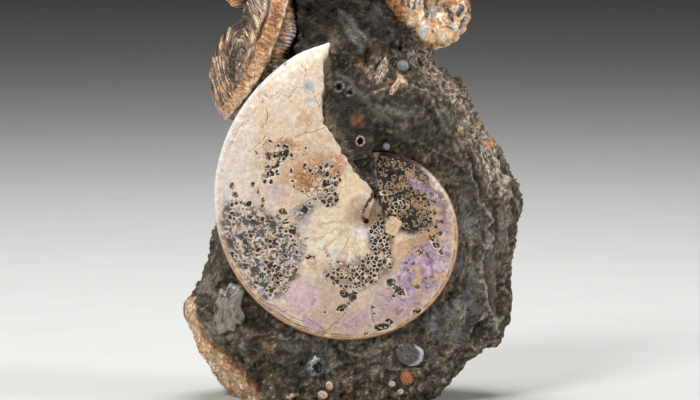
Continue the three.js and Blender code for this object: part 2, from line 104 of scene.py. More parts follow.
def along(points, x):
    """Value at x of a curve given as (position, value) points, straight between them."""
    places, values = zip(*points)
    return np.interp(x, places, values)


def bump(x, centre, width):
    """A soft bump that is 1 at the centre and fades over the width."""
    return np.exp(-(((x - centre) / width) ** 2))


def linear(colour):
    """A colour given as 0 to 255 red, green and blue, as linear light."""
    c = np.asarray(colour, float) / 255
    return np.where(c < 0.04045, c / 12.92, ((c + 0.055) / 1.055) ** 2.4)


def paint(tint, colour, share):
    """Lays a colour over the tint of each point."""
    return tint + (linear(colour) - tint) * np.clip(share, 0, 1)[:, None]


def painted(tint, coats, lay=paint):
    """Lays colours over the tint of each point, one after the other. Each coat is a colour and its share."""
    for colour, share in coats:
        tint = lay(tint, colour, share)
    return tint


def hashed(i, j, k, seed):
    """A number from 0 to 1 that whole numbers and a seed always give."""
    n = (i.astype(np.int64) * 73856093) ^ (j.astype(np.int64) * 19349663) ^ (k.astype(np.int64) * 83492791)
    n = (n ^ (seed * 2654435761)) & 0xFFFFFFFF
    n = ((n ^ (n >> 15)) * 2246822519) & 0xFFFFFFFF
    n = ((n ^ (n >> 13)) * 3266489917) & 0xFFFFFFFF
    return ((n ^ (n >> 16)) & 0xFFFFFF) / 0x1000000


OCTAVE_GAIN = 0.55  # how strong each finer layer of the noise is beside the one before


def noise(points, size, seed):
    """Smooth noise from about -1 to 1, with features of the given size."""
    g = points / size
    low = np.floor(g)
    f = g - low
    w = f * f * f * (f * (f * 6 - 15) + 10)
    cell = low.astype(np.int64)
    total = 0
    for a in (0, 1):
        for b in (0, 1):
            for c in (0, 1):
                i, j, k = cell[:, 0] + a, cell[:, 1] + b, cell[:, 2] + c
                slope = [hashed(i, j, k, seed * 3 + axis) * 2 - 1 for axis in range(3)]
                height = sum(s * (f[:, axis] - (a, b, c)[axis]) for axis, s in enumerate(slope))
                wx = w[:, 0] if a else 1 - w[:, 0]
                wy = w[:, 1] if b else 1 - w[:, 1]
                wz = w[:, 2] if c else 1 - w[:, 2]
                total = total + wx * wy * wz * height
    return 1.7 * total


def fractal(points, size, seed, octaves=4):
    """Noise with finer and weaker noise added to it."""
    total, weight, reached = 0, 1, 0
    for octave in range(octaves):
        total = total + weight * noise(points, size / 2 ** octave, seed + 11 * octave)
        reached += weight
        weight *= OCTAVE_GAIN
    return total / reached


def cells(points, size, seed):
    """Distances to the nearest and the second nearest of scattered points, a number for the nearest and its
    place."""
    g = points / size
    base = np.floor(g).astype(np.int64)
    first, second = np.full(len(g), 9.0), np.full(len(g), 9.0)
    mark, middle = np.zeros(len(g)), np.zeros_like(g)
    for a in (-1, 0, 1):
        for b in (-1, 0, 1):
            for c in (-1, 0, 1):
                i, j, k = base[:, 0] + a, base[:, 1] + b, base[:, 2] + c
                place = np.stack([n + hashed(i, j, k, seed + s) for s, n in ((1, i), (2, j), (3, k))], axis=1)
                far = np.linalg.norm(g - place, axis=1)
                nearer = far < first
                second = np.where(nearer, first, np.minimum(second, far))
                mark = np.where(nearer, hashed(i, j, k, seed + 4), mark)
                middle = np.where(nearer[:, None], place, middle)
                first = np.where(nearer, far, first)
    return first, second, mark, middle * size


def tilted(points, size, seed, found=None):
    """Flat facets, each with a lean of its own, from about -1 to 1. found gives their cells, where they are
    known."""
    first, second, mark, middle = found or cells(points, size, seed)
    lean = 2 * ((mark[:, None] * (97.3, 41.9, 17.7)) % 1) - 1
    return ((points - middle) / size * lean).sum(axis=1) * smooth(0, 0.16, second - first)


def oval(u, v, place, reach, turn=0):
    """How far inside an oval a point lies: 1 in its middle, 0 at its edge. Turned clockwise by degrees."""
    c, s = math.cos(math.radians(turn)), math.sin(math.radians(turn))
    du, dv = u - place[0], v - place[1]
    return 1 - np.hypot((c * du + s * dv) / reach[0], (c * dv - s * du) / reach[1])


def stretches(u, v, points):
    """For each straight stretch of a chain: its ends, its length, and for each point the distance from it
    and the share of the way along it."""
    for (a, b), (c, d) in zip(points, points[1:]):
        length = math.hypot(c - a, d - b)
        share = np.clip(((u - a) * (c - a) + (v - b) * (d - b)) / length ** 2, 0, 1)
        far = np.hypot(u - a - share * (c - a), v - b - share * (d - b))
        yield (a, b), (c, d), length, far, share


def from_line(u, v, points):
    """Distance from a chain of straight stretches, and how far along it the nearest point is."""
    best, reached, start = np.full(len(u), 1e9), np.zeros(len(u)), 0
    for _, _, length, far, share in stretches(u, v, points):
        reached = np.where(far < best, start + share * length, reached)
        best = np.minimum(best, far)
        start += length
    return best, reached


def beside_line(u, v, points):
    """Distance from a chain of straight stretches, above zero on its left as it runs, seen in the
    photograph."""
    best, side = np.full(len(u), 1e9), np.ones(len(u))
    for (a, b), (c, d), _, far, _ in stretches(u, v, points):
        side = np.where(far < best, np.sign((u - a) * (d - b) - (v - b) * (c - a)), side)
        best = np.minimum(best, far)
    return best * side


def flat(u, v):
    """Pixels of the photograph as points for the noise."""
    return np.stack([u, v, np.zeros_like(u)], axis=1)


# Meshes

def add_mesh(name, points, faces, **layers):
    """A mesh object from points in millimetres and depth. Each layer is one number or one colour a point."""
    mesh = bpy.data.meshes.new(name)
    mesh.from_pydata(to_row(points).tolist(), [], [list(face) for face in faces])
    for key, values in layers.items():
        colour = values.ndim == 2
        layer = mesh.attributes.new(key, "FLOAT_COLOR" if colour else "FLOAT", "POINT")
        if colour:
            values = np.concatenate([np.clip(values, 0, 1), np.ones((len(values), 1))], axis=1)
        layer.data.foreach_set("color" if colour else "value", values.astype(np.float32).ravel())
    mesh.shade_smooth()
    mesh.update()
    piece = bpy.data.objects.new(name, mesh)
    bpy.context.scene.collection.objects.link(piece)
    return piece


def grid_faces(rows, columns):
    """Four-sided faces of a grid whose columns close on themselves."""
    row, column = np.meshgrid(np.arange(rows - 1), np.arange(columns), indexing="ij")
    ahead = (column + 1) % columns
    corners = [row * columns + column, row * columns + ahead, (row + 1) * columns + ahead,
               (row + 1) * columns + column]
    return np.stack(corners, axis=-1).reshape(-1, 4)


def closed_grid(first, rings, last):
    """Points and faces of a closed surface: a pole, rings of points and a pole. Seen from outside, a ring
    that runs to the right comes below the next one."""
    rows, columns = rings.shape[:2]
    points = np.concatenate([rings.reshape(-1, 3), [first], [last]])
    low, high = rows * columns, rows * columns + 1
    ahead = (np.arange(columns) + 1) % columns
    top = (rows - 1) * columns
    faces = grid_faces(rows, columns).tolist()
    faces += [[low, int(b), int(a)] for a, b in zip(range(columns), ahead)]
    faces += [[high, top + int(a), top + int(b)] for a, b in zip(range(columns), ahead)]
    return points, faces


def normals_of(points, faces):
    """Outward direction at each point."""
    total = np.zeros_like(points)
    quads = np.array([face for face in faces if len(face) == 4])
    triangles = np.array([face for face in faces if len(face) == 3]).reshape(-1, 3)
    for group in (quads, triangles):
        if len(group) == 0:
            continue
        a, b = points[group[:, 2]] - points[group[:, 0]], points[group[:, -1]] - points[group[:, 1]]
        if group.shape[1] == 3:
            b = points[group[:, 2]] - points[group[:, 1]]
            a = points[group[:, 1]] - points[group[:, 0]]
        across = np.cross(a, b)
        for corner in range(group.shape[1]):
            np.add.at(total, group[:, corner], across)
    return total / np.maximum(np.linalg.norm(total, axis=1), 1e-12)[:, None]


# Materials

class Look:
    """A material built around one Principled shader. Sockets that are the same all over are set on the
    shader."""

    def __init__(self, name, **sockets):
        self.material = bpy.data.materials.new(name)
        self.material.use_nodes = True
        self.tree = self.material.node_tree
        self.shader = self.tree.nodes["Principled BSDF"]
        for key, value in sockets.items():
            self.shader.inputs[key.replace("_", " ")].default_value = value
        self.place = self.add("ShaderNodeTexCoord").outputs["Object"]

    def put(self, socket, value):
        if isinstance(value, bpy.types.NodeSocket):
            self.tree.links.new(value, socket)
        elif isinstance(value, (tuple, list, np.ndarray)):
            socket.default_value = (*[float(v) for v in value], 1.0)[: len(socket.default_value)]
        else:
            socket.default_value = value

    def add(self, kind, inputs=None, **settings):
        node = self.tree.nodes.new(kind)
        for key, value in settings.items():
            setattr(node, key, value)
        for key, value in (inputs or {}).items():
            self.put(node.inputs[key], value)
        return node

    def layer(self, name, output="Fac"):
        return self.add("ShaderNodeAttribute", attribute_name=name).outputs[output]

    def noise(self, size, detail=3, roughness=0.6):
        """Noise with features of the given size in millimetres."""
        inputs = {"Vector": self.place, "Scale": 1 / (size * MM), "Detail": detail, "Roughness": roughness}
        return self.add("ShaderNodeTexNoise", inputs).outputs[0]

    def flakes(self, size):
        """Distance from the middle of flakes of the given size in millimetres, and a number for each
        flake."""
        node = self.add("ShaderNodeTexVoronoi", {"Vector": self.place, "Scale": 1 / (size * MM)})
        return node.outputs["Distance"], node.outputs["Color"]

    def bent(self, size, reach):
        """The place of each point, pushed about by up to the reach in millimetres."""
        inputs = {"Vector": self.place, "Scale": 1 / (size * MM), "Detail": 2}
        push = self.add("ShaderNodeTexNoise", inputs).outputs["Color"]
        node = self.add("ShaderNodeVectorMath", operation="MULTIPLY_ADD")
        for socket, value in zip(node.inputs, (push, [2 * reach * MM] * 3, self.place)):
            self.put(socket, value)
        return node.outputs[0]

    def loops(self, field, size, randomness, reach, width, kept):
        """Rims and insides of rounded chambers scattered in a field, the sizes in millimetres."""
        inputs = {"Vector": self.bent(size, 0.3 * size), "Scale": 1 / (size * MM), "Randomness": randomness}
        node = self.add("ShaderNodeTexVoronoi", inputs)
        split = self.add("ShaderNodeSeparateColor", {"Color": node.outputs["Color"]}).outputs
        there = self.step(self.minus(self.times(field, kept), split[0]), 0.0, 0.02)
        far = self.times(node.outputs["Distance"], size)
        far = self.minus(far, self.step(split[1], 0, 1, 0.7 * reach, 1.25 * reach))
        # Lobes in the rim
        far = self.plus(far, self.step(self.noise(0.8 * reach, 1), 0.38, 0.62, -0.22 * reach, 0.22 * reach))
        rim = self.times(there, self.step(self.calc("ABSOLUTE", far), width, 0.5 * width))
        return rim, self.times(there, self.step(far, 0, -0.5 * width))

    def comb(self, field, size, randomness, width):
        """Walls and insides of chambers that meet like a honeycomb's."""
        inputs = {"Vector": self.bent(size, 0.12 * size), "Scale": 1 / (size * MM), "Randomness": randomness}
        edge = self.add("ShaderNodeTexVoronoi", inputs, feature="DISTANCE_TO_EDGE").outputs["Distance"]
        mark = self.add("ShaderNodeTexVoronoi", inputs).outputs["Color"]
        there = self.step(self.minus(field, mark), 0.0, 0.02)
        wall = self.step(self.times(edge, size), width, 0.5 * width)
        return self.times(there, wall), self.times(there, self.minus(1.0, wall))

    def calc(self, operation, a, b=0.0):
        node = self.add("ShaderNodeMath", operation=operation)
        self.put(node.inputs[0], a)
        self.put(node.inputs[1], b)
        return node.outputs[0]

    def times(self, a, b):
        return self.calc("MULTIPLY", a, b)

    def plus(self, a, b):
        return self.calc("ADD", a, b)

    def minus(self, a, b):
        return self.calc("SUBTRACT", a, b)

    def step(self, value, low, high, to_low=0.0, to_high=1.0):
        inputs = {"Value": value, "From Min": low, "From Max": high, "To Min": to_low, "To Max": to_high}
        return self.add("ShaderNodeMapRange", inputs, interpolation_type="SMOOTHSTEP").outputs[0]

    def mix(self, share, a, b, blend="MIX"):
        node = self.add("ShaderNodeMix", data_type="RGBA", blend_type=blend)
        self.put(node.inputs[0], share)
        self.put(node.inputs[6], a)
        self.put(node.inputs[7], b)
        return node.outputs[2]

    def shade(self, colour, factor):
        """The colour made darker or lighter by a factor."""
        grey = self.add("ShaderNodeCombineColor", {"Red": factor, "Green": factor, "Blue": factor}).outputs[0]
        return self.mix(1.0, colour, grey, "MULTIPLY")

    def finish(self, colour, roughness, height=None, relief=0.2):
        """Links the colour, the roughness and a bump whose height is given in shares of the relief in
        millimetres."""
        self.put(self.shader.inputs["Base Color"], colour)
        self.put(self.shader.inputs["Roughness"], roughness)
        if height is not None:
            inputs = {"Height": height, "Distance": relief * MM, "Strength": 1.0}
            self.put(self.shader.inputs["Normal"], self.add("ShaderNodeBump", inputs).outputs[0])
        return self.material


def stone_look():
    look = Look("dark_stone", Specular_IOR_Level=0.3)
    tint, wet = look.layer("tint", "Color"), look.layer("wet")
    grain = look.noise(0.9, 5, 0.75)
    speck = look.noise(2.4, 4, 0.7)
    far, flake = look.flakes(1.9)
    shade = look.times(look.step(grain, 0.32, 0.68, 0.45, 1.65), look.step(speck, 0.3, 0.7, 0.66, 1.4))
    shade = look.times(shade, look.step(flake, 0, 1, 0.8, 1.28))
    # The smoother the stone, the more even its colour
    shade = look.calc("POWER", shade, look.step(wet, 0, 1, 1.0, 0.35))
    colour = look.shade(tint, shade)
    pale = look.times(look.step(look.noise(1.3, 5, 0.8), 0.56, 0.7), look.step(look.noise(14, 3), 0.42, 0.62))
    colour = look.mix(look.times(pale, look.step(wet, 0, 1, 0.7, 0.1)), colour, linear((190, 176, 158)))
    rough = look.plus(look.step(wet, 0, 1, 0.56, 0.26), look.step(grain, 0.3, 0.7, -0.1, 0.14))
    height = look.plus(look.plus(grain, look.times(look.noise(3.4, 4, 0.7), 1.6)), far)
    return look.finish(colour, rough, height, 0.9)


def nacre_look():
    look = Look("pale_nacre", Coat_Weight=0.35, Coat_Roughness=0.16, Specular_IOR_Level=0.5)
    tint, cell = look.layer("tint", "Color"), look.layer("cell")
    ring, crack = look.layer("ring"), look.layer("crack")
    grain = look.noise(0.7, 4, 0.7)
    cloud = look.noise(3.2, 4, 0.65)
    shade = look.times(look.step(grain, 0.3, 0.7, 0.76, 1.22), look.step(cloud, 0.3, 0.7, 0.84, 1.16))
    colour = look.shade(tint, shade)
    rust = look.step(look.noise(1.1, 4, 0.8), 0.58, 0.68)
    colour = look.mix(look.times(rust, 0.35), colour, linear((176, 128, 92)))
    core = look.mix(look.step(look.noise(1.5, 3), 0.52, 0.64), linear((20, 17, 15)), linear((74, 68, 62)))
    pale = look.mix(look.step(look.noise(4, 2), 0.36, 0.52), linear((200, 156, 114)), linear((246, 224, 202)))
    dim = look.mix(look.layer("loops"), pale, linear((226, 190, 152)))
    height = look.plus(grain, look.noise(2.2, 4, 0.65))
    broken = look.step(look.noise(3, 2), 0.34, 0.46, 0.25, 1.0)
    # Chambers drawn by the material: loops in the dark fields, a comb beside them, wide rings in the slate
    found = [
        look.loops(look.layer("loops"), 4.0, 0.7, 1.55, 0.38, 1.0),
        look.loops(look.layer("loops"), 2.6, 1.0, 0.8, 0.3, 0.45),
        look.loops(look.layer("web"), 8.0, 0.75, 2.7, 0.68, 0.65),
        look.loops(look.layer("web"), 5.6, 0.9, 1.8, 0.58, 0.4),
        look.comb(look.layer("comb"), 2.8, 0.85, 0.4),
    ]
    net = look.times(look.comb(look.layer("net"), 3.6, 0.9, 0.4)[0], broken)
    colour = look.mix(look.times(net, 0.85), colour, linear((150, 104, 70)))
    height = look.plus(height, net)
    for rim, inside in found:
        rim = look.times(rim, broken)
        colour = look.mix(inside, colour, core)
        colour = look.mix(rim, colour, dim)
        height = look.plus(height, look.minus(rim, look.times(inside, 2.0)))
    edge = look.calc("ABSOLUTE", look.minus(cell, 0.15))
    rim = look.times(look.step(edge, 0.85, 0.5), ring)
    rim = look.times(rim, look.step(look.noise(1.8, 2), 0.4, 0.52, 0.1, 1.0))
    inside = look.step(cell, -0.15, -0.55)
    petal = look.step(look.calc("ABSOLUTE", look.minus(look.noise(4.4, 1), 0.5)), 0.026, 0.014)
    colour = look.mix(inside, colour, core)
    colour = look.mix(look.calc("MAXIMUM", rim, look.times(inside, petal)), colour, pale)
    line = look.step(crack, 0.7, 0.25)
    colour = look.mix(look.times(line, 0.75), colour, linear((112, 80, 58)))
    rough = look.step(inside, 0, 1, 0.3, 0.6)
    return look.finish(colour, rough, height, 0.24)


def ribbed_look():
    look = Look("brown_shell", Coat_Weight=0.4, Coat_Roughness=0.18, Specular_IOR_Level=0.6)
    tint, wet = look.layer("tint", "Color"), look.layer("wet")
    grain = look.noise(0.8, 4, 0.75)
    blotch = look.noise(3, 4, 0.65)
    shade = look.times(look.step(grain, 0.3, 0.7, 0.42, 1.75), look.step(blotch, 0.3, 0.7, 0.7, 1.3))
    # Fine growth lines, where the surface carries them
    at = look.plus(look.times(look.layer("flow"), 13.0), look.times(look.noise(3, 2), 1.6))
    fine = look.add("ShaderNodeTexNoise", {"W": at, "Scale": 1.0, "Detail": 1.5},
                    noise_dimensions="1D").outputs[0]
    shade = look.times(shade, look.calc("POWER", look.step(fine, 0.36, 0.64, 0.4, 2.0), look.layer("lines")))
    rough = look.plus(look.step(wet, 0, 1, 0.5, 0.22), look.step(grain, 0.3, 0.7, -0.06, 0.08))
    height = look.plus(look.plus(grain, blotch), look.times(fine, look.layer("lines")))
    return look.finish(look.shade(tint, shade), rough, height, 0.4)


def golden_look():
    look = Look("golden_nacre", Coat_Weight=0.8, Coat_Roughness=0.07, Metallic=0.25, Specular_IOR_Level=0.7)
    tint = look.layer("tint", "Color")
    grain = look.noise(0.8, 4, 0.7)
    cloud = look.noise(3.5, 4, 0.65)
    shade = look.times(look.step(grain, 0.3, 0.7, 0.62, 1.38), look.step(cloud, 0.3, 0.7, 0.72, 1.28))
    rough = look.step(cloud, 0.3, 0.7, 0.16, 0.34)
    height = look.plus(grain, look.noise(2.4, 4, 0.6))
    return look.finish(look.shade(tint, shade), rough, height, 0.3)


def small_shell_look(name, coat, roughness):
    look = Look(name, Coat_Weight=coat, Coat_Roughness=0.2, Specular_IOR_Level=0.5)
    grain = look.noise(0.6, 4, 0.65)
    shade = look.step(grain, 0.28, 0.72, 0.76, 1.26)
    height = look.plus(grain, look.noise(1.6, 3))
    rough = look.step(grain, 0.3, 0.7, roughness - 0.06, roughness + 0.08)
    return look.finish(look.shade(look.layer("tint", "Color"), shade), rough, height, 0.15)


# Large ammonite: the same spiral as its solid

SHELL_X, SHELL_Z = 18, 123.8  # the umbilicus
KEEL_DEPTH = 22
START_RADIUS, GROWTH = 47.2, 0.1621
FLANK, RIM = 0.165, 1.6
UMBILICUS_DEPTH, UMBILICUS_REACH = 7, 15
MOUTH_EDGE = [
    (0, 14), (12, 14), (19, 16), (24, 9), (31, -6), (37, -12.5), (44, -16.5), (55, -19), (75, -23), (86, -21),
    (99, -17), (112, -15.5), (118, -13), (126, -11),
]
FILL_EDGE = [(0, 14), (18, 11), (27, 16), (40, 8), (50, 5), (62, 5), (82, -3), (103, -12), (126, -11)]


def shell_radius(angle):
    """Outer radius at an angle; the last of it, by the mouth, is worn down."""
    return START_RADIUS * np.exp(GROWTH * angle) - 2.4 * smooth(TURN - 0.42, TURN - 0.2, angle)


def half_thickness(radius, outer):
    share = np.minimum(radius / outer, 1)
    flank = FLANK * outer * (1 - share ** 2.4) ** 0.8
    opened = mix(UMBILICUS_DEPTH, flank, smooth(0, UMBILICUS_REACH, radius))
    return np.maximum(opened, RIM * np.minimum(1, 6 * (1 - share) + 0.35))


def on_shell(turned, share, side=-1):
    """Points of the large ammonite, with their radius and the outer radius there. share is 0 at the
    umbilicus."""
    angle = turned
    by_mouth = smooth(0.14, 0, turned) + smooth(TURN - 0.14, TURN, turned)
    for _ in range(4):
        outer = shell_radius(angle)
        radius = share * outer
        uneven = noise(np.stack([radius, 0 * radius, 0 * radius], axis=1), 4.5, 88) * smooth(8, 24, radius)
        angle = (turned + np.radians(along(MOUTH_EDGE, radius))
                 + 1.5 * uneven * by_mouth / np.maximum(radius, 8))
    half = np.where(share >= 1, 0, half_thickness(radius, outer))
    points = [SHELL_X + radius * np.sin(angle), KEEL_DEPTH + side * half, SHELL_Z + radius * np.cos(angle)]
    return np.stack(points, axis=-1), radius, outer


# Stains and fields of colour on the flank, with a painted highlight and sheen by the left rim: place and
# reach in pixels of the photograph, turn, colour, strength and softness of the edge
FLANK_COLOURS = [
    ("pale chamber", (285, 92), (55, 55), 0, (244, 220, 196), 0.6, 0.5),
    # Painted highlight and painted sheen: the next two lie along the lit left rim
    ("painted white highlight inside the left rim", (238, 168), (16, 44), 8, (246, 232, 222), 0.7, 0.6),
    ("cool flank", (226, 195), (5, 34), 0, (226, 218, 222), 0.6, 0.5),
    ("orange stain", (287, 145), (12, 5), 10, (206, 138, 84), 0.9, 0.5),
    ("orange stain", (317, 163), (17, 9), -10, (206, 142, 88), 0.95, 0.5),
    ("tan flank", (300, 168), (34, 26), 0, (226, 188, 150), 0.6, 0.7),
    ("orange stain", (337, 166), (9, 12), 0, (208, 146, 94), 0.9, 0.5),
    ("orange stain", (303, 176), (15, 11), 0, (210, 150, 98), 0.85, 0.6),
    ("tan stain", (305, 119), (7, 6), 0, (222, 176, 132), 0.8, 0.6),
    ("tan stain", (314, 112), (4, 3), 0, (224, 182, 140), 0.7, 0.5),
    ("blue spot", (308, 86), (5, 6), 0, (180, 192, 198), 0.9, 0.35),
    ("blue spot", (311, 100), (7, 3), 0, (192, 198, 200), 0.8, 0.4),
    ("lavender veil", (268, 195), (22, 8), -20, (204, 190, 208), 0.5, 0.7),
    ("lavender veil", (315, 206), (20, 7), -25, (168, 148, 186), 0.7, 0.6),
    ("slate field", (257, 243), (42, 32), 42, (88, 84, 82), 1.0, 0.18),
    ("slate field", (272, 270), (26, 30), 24, (88, 84, 82), 1.0, 0.18),
    ("slate strip", (233, 236), (8, 36), -12, (92, 84, 80), 0.9, 0.25),
    ("slate strip", (299, 240), (12, 24), 20, (98, 94, 94), 0.9, 0.3),
    ("slate strip", (310, 207), (22, 7), -26, (110, 104, 112), 0.8, 0.4),
    ("blue shade", (318, 222), (9, 14), 35, (178, 184, 194), 0.8, 0.5),
    ("pale fan", (318, 240), (22, 18), 35, (255, 236, 214), 0.9, 0.5),
    ("yellow fan", (330, 226), (13, 26), -30, (255, 232, 190), 0.95, 0.5),
    ("yellow fan", (346, 247), (24, 10), 22, (255, 234, 200), 0.95, 0.6),
    ("lilac under the fan", (350, 258), (30, 6), 20, (214, 196, 208), 0.8, 0.6),
    ("yellow swirl", (350, 190), (12, 20), 10, (252, 226, 184), 0.95, 0.4),
    ("tan swirl", (374, 214), (7, 9), 0, (206, 162, 126), 1.0, 0.25),
    ("blue corner", (370, 240), (5, 6), 20, (172, 198, 212), 0.8, 0.4),
    ("tan band", (428, 200), (10, 34), -34, (214, 178, 144), 0.9, 0.3),
    ("dark field", (402, 178), (34, 23), 48, (28, 23, 20), 1.0, 0.14),
    ("dark field", (382, 182), (9, 32), 4, (28, 23, 20), 1.0, 0.2),
    ("dark field", (418, 212), (28, 20), -30, (38, 32, 28), 1.0, 0.18),
    ("dark field", (392, 205), (20, 14), 20, (38, 32, 28), 1.0, 0.18),
    ("tan gap", (398, 186), (6, 2.4), -20, (176, 128, 90), 0.8, 0.4),
    ("tan gap", (418, 206), (6, 3), 20, (196, 146, 104), 0.8, 0.4),
    ("neat cells", (380, 238), (12, 36), -14, (84, 70, 60), 0.95, 0.25),
    ("bottom cells", (356, 275), (32, 15), -6, (136, 112, 92), 0.8, 0.4),
    ("tan patch, flaked", (402, 252), (11, 12), 30, (228, 192, 156), 1.0, 0.2),
    ("tan patch, flaked", (424, 238), (20, 6), -28, (206, 160, 120), 1.0, 0.25),
    ("pale lilac haze", (395, 305), (36, 24), -25, (218, 186, 178), 0.85, 0.5),
    ("purple haze", (400, 300), (26, 18), -30, (198, 168, 186), 0.7, 0.4),
    ("purple patches", (424, 270), (36, 22), -48, (184, 154, 174), 1.0, 0.2),
    ("purple patches", (437, 210), (8, 26), -24, (176, 148, 166), 0.9, 0.25),
    ("purple patches", (416, 182), (5, 12), -40, (186, 156, 180), 0.8, 0.3),
    ("rosy bottom", (330, 305), (24, 26), 0, (216, 186, 162), 0.9, 0.5),
    ("pink patch", (303, 297), (17, 19), 20, (232, 200, 200), 1.0, 0.06),
    ("pink patch", (354, 322), (16, 10), -20, (220, 184, 192), 0.95, 0.1),
    ("pink patch", (313, 326), (12, 6), 38, (218, 182, 200), 0.95, 0.1),
    ("pink patch", (276, 311), (10, 5), 30, (212, 182, 196), 0.9, 0.12),
    ("cream disc", (393, 226), (8, 9), 15, (240, 204, 166), 1.0, 0.08),
    ("tan triangle", (370, 158), (6, 6), 0, (200, 152, 118), 1.0, 0.15),
]
# Chambers seen in the flank: place and reach in pixels, turn
PITS = [
    ((270, 141), (2, 2), 0), ((257, 153), (4.5, 1.6), 45), ((284, 147), (6, 3), 10),
    ((283, 155), (7, 4.5), -20), ((275, 155), (2.5, 4), 20), ((277, 165), (2.6, 4.5), 25),
    ((270, 174), (4.5, 5.5), 30), ((265, 182), (2.6, 2.6), 0), ((271, 182), (2.4, 3.2), 10),
    ((277, 173), (3, 3), 0), ((291, 171), (2, 3.6), 5), ((293, 181), (2.6, 1.8), 0),
    ((305, 167), (2.2, 4), 20), ((316, 168), (2, 2), 0), ((321, 173), (2, 2.6), 0),
    ((327, 165), (2.2, 4.6), 15), ((333, 162), (1.8, 3), 15), ((327, 183), (5, 4), 0),
    ((326, 191), (2.6, 2.6), 0), ((336, 184), (3, 3), 0), ((330, 200), (3.4, 3.2), 0),
    ((335, 194), (2.8, 2.8), 0), ((328, 206), (2.4, 2.4), 0), ((253, 184), (2.6, 4), 20),
    ((263, 199), (1.8, 6.5), -5), ((246, 205), (4, 2.4), 30), ((241, 203), (1.8, 3), -20),
    ((250, 217), (4, 2.6), 0), ((283, 212), (5, 3.6), 30), ((279, 217), (4, 3), 0),
    ((309, 257), (5, 2.6), -15), ((314, 258), (2, 2), 0), ((328, 256), (2.8, 1.8), -40),
    ((338, 262), (3, 1.6), 20), ((332, 261), (1.6, 1.2), 0), ((344, 294), (5.6, 4.2), 20),
    ((353, 296), (4.6, 6.4), 10), ((342, 308), (6.6, 3.6), -25), ((348, 304), (2.4, 2), 0),
    ((325, 312), (1.4, 2), 0), ((391, 283), (5.6, 4.6), 0), ((399, 291), (8, 4.6), 35),
    ((394, 296), (2, 2), 0), ((418, 312), (6, 4), -10), ((419, 253), (4.4, 3), 10),
    ((436, 245), (5, 3), 30), ((441, 252), (3.4, 2.6), 60), ((432, 240), (2.6, 2), 0),
    ((373, 307), (1.6, 2.6), 0), ((375, 313), (1.8, 2), 0), ((382, 327), (9, 4.2), -5),
    ((389, 322), (4.4, 3.6), 0), ((366, 334), (3, 1.8), 0), ((366, 222), (2.8, 2.4), 0),
    ((385, 193), (5, 2), 0), ((231, 187), (2, 2.8), 0), ((233, 194), (2, 2.8), 0),
    ((236, 203), (2.6, 2.6), 0), ((232, 213), (2.4, 2.4), 0), ((300, 215), (2, 2), 0),
    ((295, 213), (2.6, 2), 20), ((310, 203), (2, 1.6), 0), ((315, 199), (2, 2), 0),
    ((444, 262), (2.4, 1.4), 40), ((279, 146), (3, 2), 40), ((287, 152), (2.4, 4.4), 15),
    ((281, 160), (5, 3), -10), ((273, 168), (3, 2.4), 0), ((267, 176), (3.4, 3), 0),
    ((299, 150), (1.8, 1.4), 0), ((306, 148), (1.6, 2), 0), ((305, 166), (2.6, 3.6), 20),
    ((313, 160), (1.4, 1.4), 0), ((321, 168), (2, 3), 0), ((332, 166), (2, 4), 15),
    ((338, 172), (1.6, 2.4), 20), ((340, 180), (2, 2), 0), ((341, 166), (1.6, 2), 0),
    ((334, 178), (2.4, 2), 0), ((323, 186), (2, 2.4), 0), ((232, 186), (2.4, 4), 0),
    ((236, 195), (2.4, 3), 0), ((249, 204), (3, 3.4), 20), ((243, 209), (2, 1.6), 0),
    ((258, 192), (1.4, 4.6), 0), ((262, 206), (1.4, 2.2), 0), ((286, 222), (4, 3), -20),
    ((240, 220), (2, 2.6), 0), ((232, 205), (2, 3), 0), ((234, 219), (1.8, 2.6), 0),
    ((230, 230), (1.8, 2.4), 0), ((236, 262), (2, 2), 0),
]
# Chambers whose edges are frilled: place and reach in pixels, how many lobes
FRILLED = [
    ((274, 243), 7, 5), ((258.5, 250), 7, 6), ((264.5, 258.5), 4, 4), ((245.5, 261), 4.6, 3),
    ((237, 256), 3.8, 2), ((238, 244), 3.8, 3), ((270, 266), 7.4, 6), ((289, 268), 7, 4),
    ((262, 277), 6.4, 4), ((279, 278), 7.6, 6), ((271.5, 291), 6.4, 4), ((285.5, 255), 5, 3),
    ((291, 231), 7, 5), ((294.5, 244), 5.4, 4), ((251, 236), 6, 4), ((233.5, 225), 4.4, 4),
    ((242.5, 229), 3, 3), ((229.5, 236), 3.2, 2), ((247, 273), 3.6, 3), ((299, 236), 3.4, 3),
    ((280, 228), 4.8, 4), ((266, 231), 4.4, 3), ((254, 264), 3, 3), ((284, 289), 4, 3),
    ((256, 287), 3.4, 3), ((305, 246), 3.4, 3), ((273, 254), 2.6, 3), ((240, 270), 2.6, 2),
    ((262, 240), 2.6, 3), ((300, 257), 3, 3),
]
# Fields that the material fills with chambers: ovals with their place, reach and turn in pixels
FIELDS = {
    "loops": [((406, 178), (36, 22), 48), ((416, 212), (25, 18), -30), ((386, 190), (9, 30), 4),
              ((396, 176), (16, 22), 0),
              ((432, 225), (14, 20), -20), ((392, 232), (8, 10), 0)],
    "comb": [((380, 240), (11, 36), -14), ((354, 276), (32, 15), -6, 0.85), ((374, 264), (15, 13), -30),
             ((331, 194), (8, 15), 0), ((398, 206), (12, 9), 0),
             ((316, 176), (28, 15), -18, 0.35), ((276, 158), (22, 22), 0, 0.2)],
    "web": [((260, 248), (40, 36), 40), ((297, 240), (13, 24), 20), ((233, 228), (7, 42), -6),
            ((312, 206), (16, 7), -20), ((276, 270), (22, 26), 20),
            ((272, 160), (12, 26), 24), ((330, 170), (12, 14), 0)],
    "net": [((320, 180), (26, 20), -18, 0.8), ((282, 150), (30, 14), 0, 0.6),
            ((352, 268), (30, 12), -8, 0.5)],
}
PLATE = 15  # size of the flank's plates in pixels
